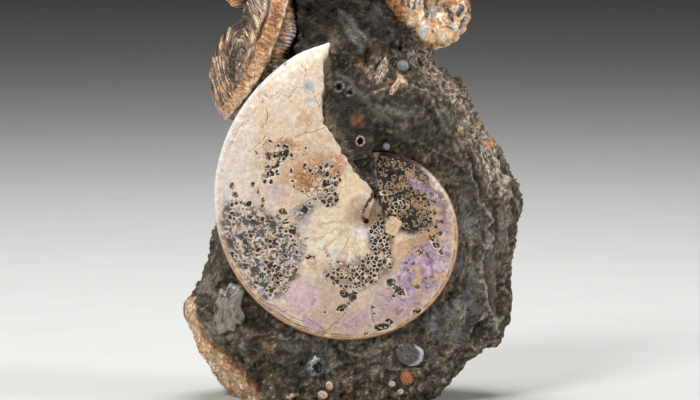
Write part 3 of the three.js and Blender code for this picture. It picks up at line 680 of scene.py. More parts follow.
# Where parts of the funnel fade in or out, in pixels: its right side across, the others downwards
FUNNEL_RIGHT, FUNNEL_LOW, LOBE_LOW, COVER_FOOT = (364, 368), (206, 212), (222, 230), (204, 196)
DISC_STAIN = (9, 10)
UMBILICUS = (360, 216)
FAN = (337, 240), (34, 24), 32
HOLE = (366, 221), (3.2, 3)
DISC, DISC_REACH, DISC_TURN = (393, 226), (8, 9), 15
FUNNEL, FUNNEL_REACH = (362, 213), 18
# The dark groove that runs from the mouth into the funnel, with its width
GROOVE = [(375, 192), (370, 200), (365, 208), (362, 215), (365, 221)]
GROOVE_WIDTH = [(0, 3.4), (8, 1.9), (16, 1.1), (24, 0.7), (32, 0.4)]
# Where the matrix that covers the start of the whorl ends
COVER = [(362, 146), (375, 158), (376, 172), (378, 186), (371, 200)]
CRACKS = [
    [(226, 150), (234, 140), (238, 128), (249, 120)],
    [(258, 92), (270, 98), (279, 92), (288, 98)],
    [(300, 62), (306, 72), (303, 84), (313, 92), (320, 108)],
    [(262, 128), (268, 118), (266, 108)],
    [(248, 153), (252, 150), (257, 145), (262, 141), (265, 136)],
    [(281, 139), (292, 138), (303, 134), (315, 131), (327, 127)],
    [(303, 315), (312, 321), (318, 326), (325, 331), (333, 325), (339, 321), (344, 314), (353, 295)],
    [(325, 331), (322, 337)],
    [(266, 303), (280, 309), (292, 317), (304, 322)],
    [(262, 304), (272, 310), (284, 318), (300, 326)],
    [(240, 120), (246, 116), (250, 118)],
    [(288, 98), (295, 90), (299, 86)],
    [(228, 218), (231, 232), (238, 250)],
    [(375, 325), (372, 316), (371, 305)],
]


def chambers(u, v, place):
    """Distance from the edge of the nearest large chamber."""
    cell = np.full(len(u), 9.0)
    wobble_u, wobble_v = u + 1.1 * noise(place, 3, 15), v + 1.1 * noise(place, 3, 16)
    for spot, reach, turn in PITS:
        cell = np.minimum(cell, -min(reach) * oval(wobble_u, wobble_v, spot, reach, turn))
    for (pu, pv), reach, lobes in FRILLED:
        near = np.hypot(u - pu, v - pv) < 2.5 * reach
        du, dv = wobble_u[near] - pu, wobble_v[near] - pv
        edge = np.hypot(du, dv) - 0.42 * reach
        for lobe in range(lobes):
            angle = pu + TURN * (lobe + 0.3 * math.sin(5 * lobe + pv)) / lobes
            out = reach * (0.66 + 0.14 * math.sin(7 * lobe + pu))
            edge = np.minimum(edge,
                              np.hypot(du - out * math.cos(angle), dv - out * math.sin(angle)) - 0.31 * reach)
        cell[near] = np.minimum(cell[near], edge)
    # Pale crystals fill a part of some chambers
    return np.where(cell < 2, cell + 1.7 * smooth(0.22, 0.5, fractal(place, 5, 18, 2)), cell)


def flank_marks(points, radius, outer, covered):
    """Colour, chambers, cracks and relief of the large ammonite's flank. covered tells the start of the
    whorl."""
    u, v = in_photo(points)
    place = flat(u, v)
    drift_u = u + 3.2 * fractal(place, 9, 1) + 1.2 * noise(place, 2.6, 5)
    drift_v = v + 3.2 * fractal(place, 9, 2) + 1.2 * noise(place, 2.6, 6)
    drift = flat(drift_u, drift_v)
    cloud, fine = fractal(place, 16, 3), fractal(place, 5, 4)
    plates = cells(drift, PLATE, 21)
    plate_first, plate_second, plate_mark, _ = plates
    chip_middle = cells(drift, 5.5, 24)[3]
    chip_u, chip_v = mix(drift_u, chip_middle[:, 0], 0.85), mix(drift_v, chip_middle[:, 1], 0.85)
    tint = np.tile(linear((240, 214, 186)), (len(u), 1))
    tint = painted(tint, [
        ((226, 188, 152), smooth(0.05, 0.45, cloud) * 0.7),
        ((248, 232, 218), smooth(0.05, 0.45, -cloud) * 0.6),
        ((190, 140, 98), smooth(0.2, 0.45, fractal(place, 4, 36, 3)) * smooth(0.0, 0.4, cloud) * 0.7),
        ((228, 194, 160), smooth(0.55, 0.8, plate_mark) * 0.45),
        ((248, 230, 212), smooth(0.45, 0.2, plate_mark) * 0.4),
        ((206, 160, 118), smooth(0.25, 0.5, fine) * 0.35),
    ])
    masks = {kind: np.zeros(len(u)) for kind in ("slate", "dark", "purple")}
    for name, spot, reach, turn, colour, strength, softness in FLANK_COLOURS:
        flaked = "patch" in name
        inside = oval(chip_u if flaked else drift_u, chip_v if flaked else drift_v, spot, reach, turn)
        inside = smooth(-softness, softness, inside + (0 if flaked else 0.5 * softness * fine)) * strength
        tint = paint(tint, colour, inside)
        for kind, mask in masks.items():
            masks[kind] = np.maximum(mask, inside) if name.startswith(kind) else mask * (1 - inside)
    slate, dark, purple = masks.values()
    # Clouds of pale mineral in the slate and the dark fields, and of tan in the purple ones
    tint = painted(tint, [
        ((226, 226, 230), slate * smooth(0.06, 0.2, fine)),
        ((204, 186, 200), slate * smooth(0.16, 0.3, fractal(place, 7, 8))),
        ((234, 204, 174), slate * smooth(0.1, 0.26, fractal(place, 8, 9)) * 0.9),
        ((42, 42, 46), slate * smooth(0.04, 0.16, fractal(place, 9, 11)) * 0.9),
        ((204, 160, 120), dark * smooth(0.3, 0.4, fractal(place, 7, 10))),
        ((150, 140, 134), dark * smooth(0.3, 0.45, fractal(place, 5, 25)) * 0.7),
        ((24, 20, 17), dark * smooth(0.08, 0.28, -fractal(place, 8, 12))),
    ])
    mottle = fractal(place, 17, 26)
    tint = painted(tint, [
        ((218, 178, 142), purple * smooth(0.07, 0.19, mottle)),
        ((228, 200, 212), purple * smooth(0.02, 0.22, -mottle) * 0.85),
        ((136, 104, 142), purple * smooth(0.08, 0.28, fractal(place, 7, 27)) * 0.75),
        ((84, 66, 58), purple * smooth(0.26, 0.42, fractal(place, 5, 28, 2)) * 0.9),
    ])
    # Rays of the fan around the umbilicus
    du, dv = u - UMBILICUS[0], v - UMBILICUS[1]
    out = np.hypot(du, dv)
    ray = np.degrees(np.arctan2(dv, du)) + 4 * noise(place, 6, 13)
    fan = smooth(-0.2, 0.5, oval(u, v, *FAN)) * smooth(6, 14, out)
    rays = noise(np.stack([ray / 5, out / 30, 0 * ray], axis=1), 1, 14)
    tint = painted(tint, [
        ((255, 236, 206), fan * 0.5),
        ((224, 182, 138), fan * smooth(0.05, 0.45, rays) * 0.75),
        ((255, 246, 222), fan * smooth(0.05, 0.4, -rays) * 0.95),
    ])
    # The funnel of the umbilicus: fine lines round it, a painted highlight on its lower lip, a groove into
    # it, and matrix over the start of the whorl
    swing = np.hypot(u - FUNNEL[0] + 1.4 * cloud, v - FUNNEL[1] + 2 * fine)
    funnel = smooth(FUNNEL_REACH, FUNNEL_REACH - 3, swing)
    rounds = np.sin(TURN * (swing + 1.2 * cloud) / 2.7)
    right = smooth(*FUNNEL_RIGHT, u)
    tint = painted(tint, [
        ((238, 212, 184), bump(swing, FUNNEL_REACH - 1.5, 2.6) * 0.8),
        ((222, 190, 158), funnel * 0.8),
        ((186, 152, 124), smooth(12, 3, swing) * 0.7),
        ((206, 158, 118), funnel * right * smooth(*FUNNEL_LOW, v) * 0.8),
        ((150, 114, 86), funnel * smooth(0.2, 0.9, rounds) * smooth(-0.2, 0.3, fine) * 0.45),
        ((250, 232, 210), funnel * smooth(0.3, 1.0, -rounds) * 0.5),
        # Painted highlight, lavender-white, on the funnel's lower lip
        ((232, 220, 236), bump(swing, FUNNEL_REACH, 2.6) * smooth(*LOBE_LOW, v) * 0.9),
    ])
    cover = beside_line(u + 1.4 * noise(place, 4, 29), v + 1.4 * noise(place, 4, 30), COVER)
    cover = smooth(0.6, -0.6, cover) * smooth(*COVER_FOOT, v) * covered
    groove, reached = from_line(u + 2 * noise(place, 2.6, 29), v + noise(place, 2, 34), GROOVE)
    groove = smooth(0.5, -0.5, groove - along(GROOVE_WIDTH, reached) * (1 + 0.8 * noise(place, 3, 37)))
    hole = oval(u, v, *HOLE)
    tint = painted(tint, [
        ((82, 73, 63), cover),
        ((128, 116, 100), cover * smooth(0.1, 0.3, fine)),
        ((46, 40, 34), cover * smooth(0.1, 0.3, -fine)),
        ((40, 34, 29), groove),
        ((24, 20, 18), smooth(-0.1, 0.3, hole)),
    ])
    # Chambers
    cell = chambers(u, v, place)
    ring = smooth(-0.5, -0.1, fractal(place, 14, 17)) * 0.5 + 0.5
    disc = smooth(-0.05, 0.05, oval(u, v, DISC, DISC_STAIN, DISC_TURN))
    plain = np.max([disc, funnel, cover, groove], axis=0)
    cell = cell + 3 * plain
    fields = []
    for ovals in FIELDS.values():
        inside = np.zeros(len(u))
        for spot, reach, turn, *kept in ovals:
            share = smooth(-0.08, 0.3, oval(drift_u, drift_v, spot, reach, turn)) * (kept or [1])[0]
            inside = np.maximum(inside, share)
        fields.append(inside * (1 - plain) * smooth(4, 7, (outer - radius) * PX_PER_MM))
    # Cracks
    crack = np.full(len(u), 9.0)
    for line in CRACKS:
        crack = np.minimum(crack, from_line(drift_u * 0.4 + u * 0.6, drift_v * 0.4 + v * 0.6, line)[0])
    hairline = np.where(plate_mark > 0.55, (plate_second - plate_first) * PLATE, 9)
    broken = smooth(-0.1, 0.3, fractal(place, 11, 31)) * 1.2
    crack = np.minimum(crack, hairline + 0.15 + broken + 3 * slate + 3 * dark)
    # Lines along the keel, clearest along the lower edge, and painted highlights along the rim
    inward = (outer - radius) * PX_PER_MM
    turn = np.degrees(np.arctan2(points[:, 0] - SHELL_X, points[:, 2] - SHELL_Z)) % 360
    lower = smooth(78, 96, turn) * (1 - smooth(250, 276, turn))
    left = smooth(262, 285, turn)
    wave = 0.7 * noise(place, 8, 22)
    worn = smooth(-0.3, 0.1, fractal(place, 9, 32))
    tint = painted(tint, [
        ((240, 210, 176), bump(inward, 3.4, 3.2) * lower * 0.9),
        ((196, 136, 84), bump(inward + wave, 0.8, 1.2) * lower),
        ((138, 88, 54), bump(inward + wave, 3.2, 0.7) * lower * worn),
        ((104, 72, 50), bump(inward + wave, 5.8, 0.6) * lower * smooth(170, 200, turn) * worn),
        # Painted highlights: a white band along the left rim and a narrow one on the upper right rim
        ((250, 246, 240), smooth(5, 1.5, inward) * left),
        ((246, 244, 246), bump(inward, 2.6, 1.5) * bump(turn, 66, 18) * 0.9),
        ((150, 104, 68), smooth(1.6, 0.4, inward) * bump(turn, 62, 34) * 0.9),
        ((150, 122, 110), bump(inward, 7, 5) * bump(turn, 74, 28) * smooth(-0.3, 0.2, fine) * 0.8),
    ])
    cell = np.where(inward < 5, np.maximum(cell, 1.5 * (1 - inward / 5) + cell * inward / 5), cell)
    # Relief in millimetres, outwards above zero
    relief = (0.35 * fractal(place, 24, 23) + 0.16 * fine
              + 0.3 * tilted(drift, PLATE, 21, plates) * (1 - slate) + 0.12 * tilted(drift, 6, 33))
    relief = (relief - 0.8 * smooth(0.2, -1.2, cell) + 0.2 * bump(cell, 0.7, 0.6)
              - 0.3 * smooth(0.9, 0.0, crack))
    for name, spot, reach, turned, _, _, _ in FLANK_COLOURS:
        if name.endswith("patch"):
            relief = relief - 0.4 * smooth(-0.06, 0.06, oval(chip_u, chip_v, spot, reach, turned))
    relief = (relief + 0.45 * smooth(-0.05, 0.1, oval(drift_u, drift_v, DISC, DISC_REACH, DISC_TURN))
              + fan * 0.4 * rays)
    relief = relief + 0.45 * bump(inward, 1.8, 1.2) * lower - 0.4 * bump(inward, 4.2, 0.9) * lower
    relief = (relief - 0.5 * fields[0] * smooth(-0.2, 0.3, fine) - 1.6 * smooth(14, 2, swing)
              + 0.9 * bump(swing, FUNNEL_REACH, 3))
    relief = relief + funnel * 0.16 * rounds - 1.4 * groove - 1.6 * smooth(-0.2, 0.8, hole)
    relief = relief + cover * (0.7 + 0.7 * fractal(place, 4, 35, 2))
    return tint, cell, ring, crack, relief, *fields


def large_ammonite():
    half = 145  # cells from the umbilicus to the edge
    wall_columns = 5
    i, j = np.meshgrid(np.arange(-half, half + 1), np.arange(-half, half + 1), indexing="ij")
    a, b = i / half, j / half
    share = np.maximum(abs(a), abs(b))
    wide = abs(a) >= abs(b)
    with np.errstate(divide="ignore", invalid="ignore"):
        slant = np.where(wide, np.where(a >= 0, b / a * math.pi / 4, math.pi + b / a * math.pi / 4),
                         np.where(b >= 0, math.pi / 2 - a / b * math.pi / 4,
                                  1.5 * math.pi - a / b * math.pi / 4))
    turned = np.where(share == 0, 0, slant) % TURN
    side = 2 * half + 1
    front, radius, outer = on_shell(turned.ravel(), share.ravel())
    index = (i + half) * side + (j + half)
    # The mouth is a cut from the umbilicus to the edge: its far side has points of its own
    steps = np.arange(1, half + 1)
    far, far_radius, far_outer = on_shell(np.full(half, TURN), steps / half)
    near = front[index[half + steps, half]]
    walls = []
    for column in range(1, wall_columns):
        w = column / wall_columns
        wall = mix(far, near, 0.03 + 0.9 * w ** 3)
        wall[:, 1] = mix(far[:, 1], np.maximum(near[:, 1], far[:, 1] + 1.5), min(1, 1.6 * w))
        walls.append(wall)
    base = side * side
    far_index = np.concatenate([[index[half, half]], base + np.arange(half)])
    wall_index = [np.concatenate([[index[half, half]], base + half * column + np.arange(half)])
                  for column in range(1, wall_columns)]
    near_index = index[half:, half]
    quads = np.stack([index[:-1, :-1], index[1:, :-1], index[1:, 1:], index[:-1, 1:]], axis=-1)
    # Below the cut, faces use the far side's points
    quads[half:, half - 1, 2] = far_index[1:]
    quads[half:, half - 1, 3] = far_index[:-1]
    faces = quads.reshape(-1, 4)[:, ::-1].tolist()
    strips = [far_index, *wall_index, near_index]
    for one, other in zip(strips, strips[1:]):
        for step in range(half):
            face = [other[step + 1], one[step + 1], one[step], other[step]]
            faces.append([int(c) for c in (face[:3] if one[step] == other[step] else face)])
    # The back: rings of the outer edge, drawn in to a point
    edge = [(half, n) for n in range(0, half + 1)] + [(n, half) for n in range(half - 1, -half - 1, -1)]
    edge += [(-half, n) for n in range(half - 1, -half - 1, -1)]
    edge += [(n, -half) for n in range(-half + 1, half + 1)]
    edge += [(half, n) for n in range(-half + 1, 0)]
    rim = [int(index[p + half, q + half]) for p, q in edge]
    rim_turned = np.array([turned[p + half, q + half] for p, q in edge])
    rim += [int(far_index[-1])] + [int(column[-1]) for column in wall_index]
    points = [front, far, *walls]
    count = base + half * wall_columns
    previous = rim
    for level in (0.985, 0.94, 0.86, 0.7, 0.4):
        ring = on_shell(rim_turned, np.full(len(rim_turned), level), 1)[0]
        end = on_shell(np.array([TURN]), np.array([level]), 1)[0]
        start = ring[:1]
        closing = [mix(end, start, column / wall_columns) for column in range(1, wall_columns)]
        ring = np.concatenate([ring, end, *closing])
        current = list(range(count, count + len(ring)))
        count += len(ring)
        points.append(ring)
        faces += [[previous[n], previous[(n + 1) % len(rim)], current[(n + 1) % len(rim)], current[n]]
                  for n in range(len(rim))]
        previous = current
    pole = on_shell(np.array([0.0]), np.array([0.0]), 1)[0]
    points.append(pole)
    faces += [[previous[n], previous[(n + 1) % len(rim)], count] for n in range(len(rim))]
    points = np.concatenate(points)
    radius = np.concatenate([radius, far_radius])
    outer = np.concatenate([outer, far_outer])
    marked = len(radius)
    layers = {"tint": np.tile(linear((112, 98, 80)), (len(points), 1))}
    for name, value in (("cell", 9), ("ring", 0), ("crack", 9), ("relief", 0), ("loops", 0), ("comb", 0),
                        ("web", 0),
                        ("net", 0)):
        layers[name] = np.full(len(points), float(value))
    start = np.concatenate([smooth(math.radians(60), math.radians(50), turned.ravel()), np.zeros(half)])
    found = flank_marks(points[:marked], radius, outer, start)
    for layer, values in zip(layers.values(), found):
        layer[:marked] = values
    relief = layers.pop("relief")
    relief[:marked] *= smooth(0, 0.02, 1 - radius / outer)
    points[:, 1] -= relief
    low, high = box_of("large_ammonite")
    return add_mesh("large_ammonite_shell", np.clip(points, low, high), faces, **layers)


# Stone: the same field as its solid, drawn finer and broken up further

AXIS = (3, 66)
FRONT_DEPTH, BACK_DEPTH, WIDEST_DEPTH = 25.5, 106, 64
FRONT_TAPER, BACK_TAPER = 0.42, 0.35
ROUNDNESS = 2.2
SCALLOP, SCALLOP_DEPTH = 31, 13
CALM = 0.8
TOP_LEVEL = 282
LEFT_EDGE = [
    (0, -74), (10, -83), (20, -91), (27, -95.5), (34, -99), (41, -101.5), (53, -104), (61, -105),
    (67, -102.5), (76, -97.5), (86, -93), (93, -90), (100, -87), (108, -84), (122, -81), (142, -78),
    (165, -74), (180, -69), (190, -69), (200, -72), (212, -75), (230, -75), (258, -67), (287, -55),
    (318, -30),
]
RIGHT_EDGE = [
    (0, 67.5), (5, 69.5), (13, 78), (25, 88), (30, 95.5), (35.5, 105), (37, 109), (46, 112), (57, 117.5),
    (72, 118.5), (91, 118.5), (101, 120.5), (113, 122), (120, 124), (129, 124), (138, 120.5), (147, 117),
    (157, 112), (170, 107.5), (178, 102), (189, 95.5), (199, 90.5), (208, 85), (214, 76), (223, 66.5),
    (231, 59), (238, 63), (246, 70), (258, 78), (271, 82), (288, 78), (303, 60), (318, 34),
]
# Relief of the display face: x, z, reach in x and z, turn, how far it sinks, calm
RELIEF = [
    ("hollow right of the shell", 92, 110, 14, 54, -8, 8, True),
    ("smooth scar of the lost shell", 66, 192, 34, 20, -32, 7, True),
    ("lower right slope", 70, 34, 36, 24, 20, 7, False),
    ("lower left slope", -88, 62, 26, 46, 0, 12, False),
    ("bottom left hollow", -50, 26, 26, 18, 0, 5, False),
    ("bottom middle swell", 4, 22, 30, 20, 0, -5, False),
    ("neck", 2, 276, 46, 36, 0, 18, False),
    ("shoulder with the shell debris", 36, 224, 20, 15, 0, -6, False),
]
# Broken faces: turn and tilt of the outward direction, and a point of the face
BROKEN_FACES = [
    (44, 6, (106, 37, 96)), (62, 2, (117, 50, 60)), (50, 24, (97, 40, 172)), (34, 30, (66, 36, 214)),
    (132, 6, (106, 90, 120)), (150, 14, (92, 100, 236)), (184, 10, (0, 104, 190)), (212, 2, (-80, 98, 96)),
    (226, 12, (-76, 96, 236)), (176, 30, (6, 104, 276)), (84, 58, (66, 78, 300)), (268, 46, (-50, 78, 284)),
    (6, 44, (0, 52, 302)), (40, 80, (0, 72, 309)), (140, -22, (80, 92, 34)), (222, -20, (-76, 86, 30)),
]


def relief_weight(entry, x, z):
    _, cx, cz, rx, rz, turn, _, _ = entry
    c, s = math.cos(math.radians(turn)), math.sin(math.radians(turn))
    across, up = (c * (x - cx) + s * (z - cz)) / rx, (c * (z - cz) - s * (x - cx)) / rz
    return np.exp(-(across ** 2 + up ** 2))


def face_depth(x, z):
    """Depth of the display face at points seen from the front."""
    depth = FRONT_DEPTH + sum(entry[6] * relief_weight(entry, x, z) for entry in RELIEF)
    dx, dz = x - SHELL_X, z - SHELL_Z
    radius, angle = np.hypot(dx, dz), np.arctan2(dx, dz)
    outer = shell_radius(angle + TURN)
    flank = KEEL_DEPTH - half_thickness(radius, outer) + 2.6
    past, before = np.degrees(angle) - along(FILL_EDGE, radius), np.degrees(angle) + 60
    filled = (1 - smooth(0, 42, past)) * smooth(0, 20, before) * (1 - smooth(outer - 6, outer + 14, radius))
    depth = mix(depth, flank, filled)
    clear = radius - shell_radius(angle)
    groove = np.maximum(depth, 24 - 0.8 * np.maximum(0, clear))
    depth = np.where((angle > math.radians(4)) & (angle < math.radians(150)), groove, depth)
    neck = smooth(228, 246, z)
    depth = mix(depth, 60, neck * smooth(0, 6, x - (52 - 0.65 * (z - 241))))
    return mix(depth, 54, neck * smooth(0, 8, -26 - x))


def roughness(x, y, z):
    calm = np.exp(-(((y - WIDEST_DEPTH) / 9) ** 2))
    for entry in RELIEF:
        if entry[7]:
            calm = np.maximum(calm, relief_weight(entry, x, z))
    shell = 1 - smooth(0, 12, np.hypot(x - SHELL_X, z - SHELL_Z) - 96)
    return 1 - CALM * np.maximum(calm, np.where(y < 40, shell, 0))


def scatter_table():
    """The solid's scattered points, worked out once for every cell of space that the stone reaches."""
    i, j, k = np.meshgrid(np.arange(-8, 9), np.arange(-3, 8), np.arange(-3, 14), indexing="ij")
    values = [np.sin(i * 127.1 + j * 311.7 + k * 74.7 + seed * 53.9) * 43758.5453 for seed in (1, 2, 3)]
    return np.stack([value - np.floor(value) for value in values], axis=-1)


SCATTER = scatter_table()


def scallops(x, y, z):
    g = np.stack([x, y, z], axis=1) / SCALLOP
    base = np.floor(g).astype(int)
    nearest = np.full(len(g), 9.0)
    for a in (-1, 0, 1):
        for b in (-1, 0, 1):
            for c in (-1, 0, 1):
                cell = base + (a, b, c)
                middle = cell + SCATTER[cell[:, 0] + 8, cell[:, 1] + 3, cell[:, 2] + 3]
                nearest = np.minimum(nearest, ((g - middle) ** 2).sum(axis=1))
    return nearest - 0.3


def lumps(x, y, z):
    return (1.3 * np.sin(x / 17 + 1.1 * np.sin(z / 23) + 0.6) * np.cos(z / 15 + y / 21)
            + 0.8 * np.sin(x / 8.3 - z / 9.7 + 2.1) * np.cos(y / 7.9 + z / 12.1))


def outside_stone(x, y, z):
    """Above zero outside the stone."""
    inset = np.maximum(0, WIDEST_DEPTH - y) * FRONT_TAPER + np.maximum(0, y - WIDEST_DEPTH - 16) * BACK_TAPER
    faces = [
        face_depth(x, z) - y, y - BACK_DEPTH,
        (x + inset - along(RIGHT_EDGE, z)) * 0.9, (along(LEFT_EDGE, z) + inset - x) * 0.9,
    ]
    for turn, tilt, at in BROKEN_FACES:
        turn, tilt = math.radians(turn), math.radians(tilt)
        nx, ny, nz = math.sin(turn) * math.cos(tilt), -math.cos(turn) * math.cos(tilt), math.sin(tilt)
        faces.append(nx * (x - at[0]) + ny * (y - at[1]) + nz * (z - at[2]))
    faces = np.array(faces)
    most = faces.max(axis=0)
    face = most + ROUNDNESS * np.log(np.exp((faces - most) / ROUNDNESS).sum(axis=0))
    return face - lumps(x, y, z) - roughness(x, y, z) * SCALLOP_DEPTH * scallops(x, y, z)


def reach_stone(starts, rays):
    """Where rays that start inside the stone leave it."""
    def outside(reach, chosen):
        points = starts[chosen] + reach[:, None] * rays[chosen]
        return outside_stone(points[:, 0], points[:, 1], np.maximum(points[:, 2], 1)) > 0

    reach = np.full(len(starts), 4.0)
    going = np.arange(len(starts))
    while len(going):
        going = going[~outside(reach[going], going)]
        reach[going] += 4
        going = going[reach[going] < 150]
    low, high = reach - 4, reach.copy()
    everything = np.arange(len(starts))
    for _ in range(9):
        middle = (low + high) / 2
        out = outside(middle, everything)
        low, high = np.where(out, low, middle), np.where(out, middle, high)
    return starts + low[:, None] * rays


# Colours of the stone's display face, some of them painted shade: place and reach in pixels, turn, colour,
# strength, softness, how wet it looks
STONE_COLOURS = [
    ("grey trough", (472, 240), (13, 84), -4, (136, 131, 122), 0.9, 0.5, 0.25),
    ("lower right bloom", (440, 326), (38, 24), -30, (118, 114, 106), 0.7, 0.6, 0.25),
    # Partly painted shade: the neck between the two hooked ammonites is dark stone, darkened further as if in
    # shade
    ("dark neck, partly painted shade", (345, 18), (84, 50), 0, (30, 24, 19), 1.0, 0.35, 0.3),
    ("scar of the lost shell", (412, 120), (48, 24), 30, (54, 50, 46), 1.0, 0.3, 0.7),
    ("lower part of the scar", (420, 152), (48, 11), 24, (56, 48, 38), 1.0, 0.3, 0.5),
    ("lip over the scar", (388, 92), (32, 5), -8, (116, 102, 84), 0.8, 0.5, 0.3),
    ("steinkern", (352, 108), (26, 52), -18, (36, 32, 29), 1.0, 0.3, 0.6),
    ("brown spot", (357, 120), (7, 7), 0, (136, 96, 66), 0.9, 0.4, 0.5),
    ("blue ridge", (327, 360), (8, 20), -28, (124, 122, 118), 0.8, 0.5, 0.4),
    ("tan streak", (345, 382), (4, 14), -20, (190, 154, 120), 0.8, 0.4, 0.2),
    ("shell debris", (381, 68), (13, 20), -18, (180, 154, 126), 0.6, 0.4, 0.5),
    ("rust hook", (270, 348), (5, 3), 40, (186, 122, 74), 0.9, 0.4, 0.2),
    ("black bruise", (262, 322), (14, 10), 0, (42, 37, 33), 0.8, 0.5, 0.4),
    ("grey bloom", (240, 345), (24, 10), 20, (96, 94, 90), 0.5, 0.6, 0.5),
    # Painted shadow: the next two lie along the shell's right edge and left of the facet edge
    ("painted shadow right of the shell", (459, 232), (5, 36), -6, (48, 42, 37), 0.8, 0.5, 0.2),
    ("painted shadow left of the facet edge", (470, 190), (6, 26), -14, (54, 49, 45), 0.85, 0.4, 0.4),
    ("dark notch", (475, 325), (7, 13), -16, (52, 52, 54), 0.9, 0.3, 0.6),
    ("pale swirl", (462, 312), (9, 7), -30, (158, 154, 148), 0.7, 0.6, 0.3),
    ("shade under the shell", (215, 262), (12, 34), 14, (58, 51, 44), 0.7, 0.6, 0.2),
    ("glossy hollow", (298, 364), (30, 20), -20, (56, 56, 58), 0.7, 0.5, 0.85),
    ("left slope", (203, 268), (20, 76), 12, (62, 54, 46), 0.65, 0.6, 0.2),
]
RIND = [(189, 300), (190, 322), (192, 341), (200, 357), (208, 368), (218, 384), (228, 402)]
RIND_WIDTH = [(0, 5), (22, 8), (41, 12), (60, 17), (75, 21), (100, 27), (120, 31)]
CRUST = [(420, 54), (438, 70), (455, 88), (468, 106), (476, 124), (482, 144), (492, 170), (500, 190)]
PALE_RIDGE = [(337, 73), (349, 81), (362, 96), (373, 109), (391, 123)]
BORINGS = [((339, 87), 4.6), ((350, 92), 3.6)]
NECK = (345, 18), (84, 50)
STEINKERN = (352, 108), (26, 52), -18
COOL_HOLLOW = (458, 288), (34, 92), 14
DEBRIS = (381, 68), (14, 20), -18
RIND_TOP = 330  # how far down the warm edge of the rind begins
DARK_CRACK = [(320, 343), (326, 358), (333, 377)]
# Where the hollow right of the shell ends and the broken side begins: down and right
FACET_EDGE = [(120, 470), (160, 468), (178, 478), (205, 485), (235, 481), (270, 478), (300, 484), (318, 489),
              (345, 504)]
# Edges of the broken surface: lift and reach of the raised side in millimetres and pixels, brightness of the
# painted highlight on the edge, and points in pixels. The raised side is on the left as the edge runs, and
# painted shade lies below it.
STEPS = [
    (1.6, 9, 0.9,
     [(497, 330), (492, 314), (488, 302), (486, 288), (484, 276), (483, 262), (485, 250), (492, 238)]),
    (1.2, 5, 1.0, [(492, 238), (488, 230), (493, 221), (486, 212), (484, 205)]),
    (0.8, 7, 0.5, [(482, 206), (478, 198), (476, 184), (472, 170), (468, 158)]),
    (1.4, 7, 0.7, [(430, 92), (417, 86), (404, 84), (390, 87), (376, 90), (364, 96)]),
    (1.0, 8, 0.5, [(380, 131), (394, 135), (408, 140), (432, 150), (452, 160), (463, 170)]),
    (1.2, 6, 0.5, [(462, 156), (452, 136), (441, 117), (434, 104), (428, 91)]),
    (1.2, 5, 0.8, [(520, 208), (514, 194), (505, 182), (497, 172), (486, 163), (476, 158)]),
    (1.0, 6, 0.5, [(512, 330), (508, 318), (511, 300), (507, 280), (512, 258), (508, 232), (512, 214)]),
    (1.0, 6, 0.6, [(470, 338), (474, 328), (482, 318), (488, 310)]),
    (0.9, 6, 0.4, [(500, 336), (484, 344), (470, 352), (458, 366), (444, 380)]),
    (0.9, 6, 0.5, [(440, 44), (452, 62), (462, 82), (474, 104), (482, 122), (488, 138)]),
    (0.8, 5, 0.4, [(372, 4), (382, 22), (396, 44), (412, 56), (424, 64)]),
    (0.8, 6, 0.4, [(336, 8), (348, 22), (362, 36), (372, 52), (376, 66)]),
    (0.9, 6, 0.4, [(250, 338), (266, 334), (280, 340), (296, 338), (312, 342)]),
    (0.8, 5, 0.3, [(244, 372), (256, 362), (270, 360), (284, 366), (296, 362)]),
    (1.0, 6, 0.4, [(340, 348), (352, 356), (368, 358), (384, 352), (398, 346)]),
    (0.8, 6, 0.4, [(346, 398), (354, 384), (352, 370), (342, 362)]),
    (0.8, 6, 0.3, [(424, 372), (440, 364), (452, 352), (466, 342)]),
    (0.9, 6, 0.4, [(226, 330), (218, 318), (208, 312), (198, 306)]),
    (0.9, 6, 0.3, [(216, 246), (212, 260), (202, 274), (196, 288)]),
]
# Flakes that stand up or are knocked out of the surface: place and reach in pixels, turn, lift in millimetres
FLAKES = [
    ("blade", (487, 212), (7, 3.4), 55, 1.6), ("blade", (481, 243), (6, 2.4), 60, 1.2),
    ("long blade", (492, 262), (7, 40), -4, 1.3), ("notch", (474, 326), (9, 14), -20, -1.8),
    ("lower blade", (494, 316), (7, 16), -14, 1.2), ("shoulder plate", (496, 182), (9, 22), -24, 1.4),
    ("plate", (505, 228), (8, 26), 6, 1.0), ("chip", (457, 300), (9, 5), -30, 0.7),
    ("scar step", (415, 140), (42, 5), 24, -1.0), ("scar ripple", (398, 112), (24, 4), 14, 0.6),
    ("chip", (432, 300), (8, 4), -40, -0.8), ("chip", (452, 272), (4, 9), 10, 0.6),
    ("chip", (395, 362), (12, 6), 10, -0.9), ("chip", (372, 356), (10, 7), -20, 0.8),
    ("chip", (290, 345), (13, 7), 15, 1.0), ("chip", (252, 352), (12, 7), -30, -1.0),
    ("chip", (214, 330), (9, 14), 14, 0.9), ("chip", (206, 284), (6, 12), 20, 0.8),
    ("chip", (352, 30), (8, 26), -34, 0.9), ("chip", (368, 54), (5, 22), -30, -0.9),
    ("chip", (402, 58), (12, 4), 46, 0.8), ("chip", (445, 120), (6, 16), -20, 0.9),
    ("chip", (312, 392), (16, 5), -6, -0.9), ("chip", (430, 384), (14, 6), -26, 0.8),
]
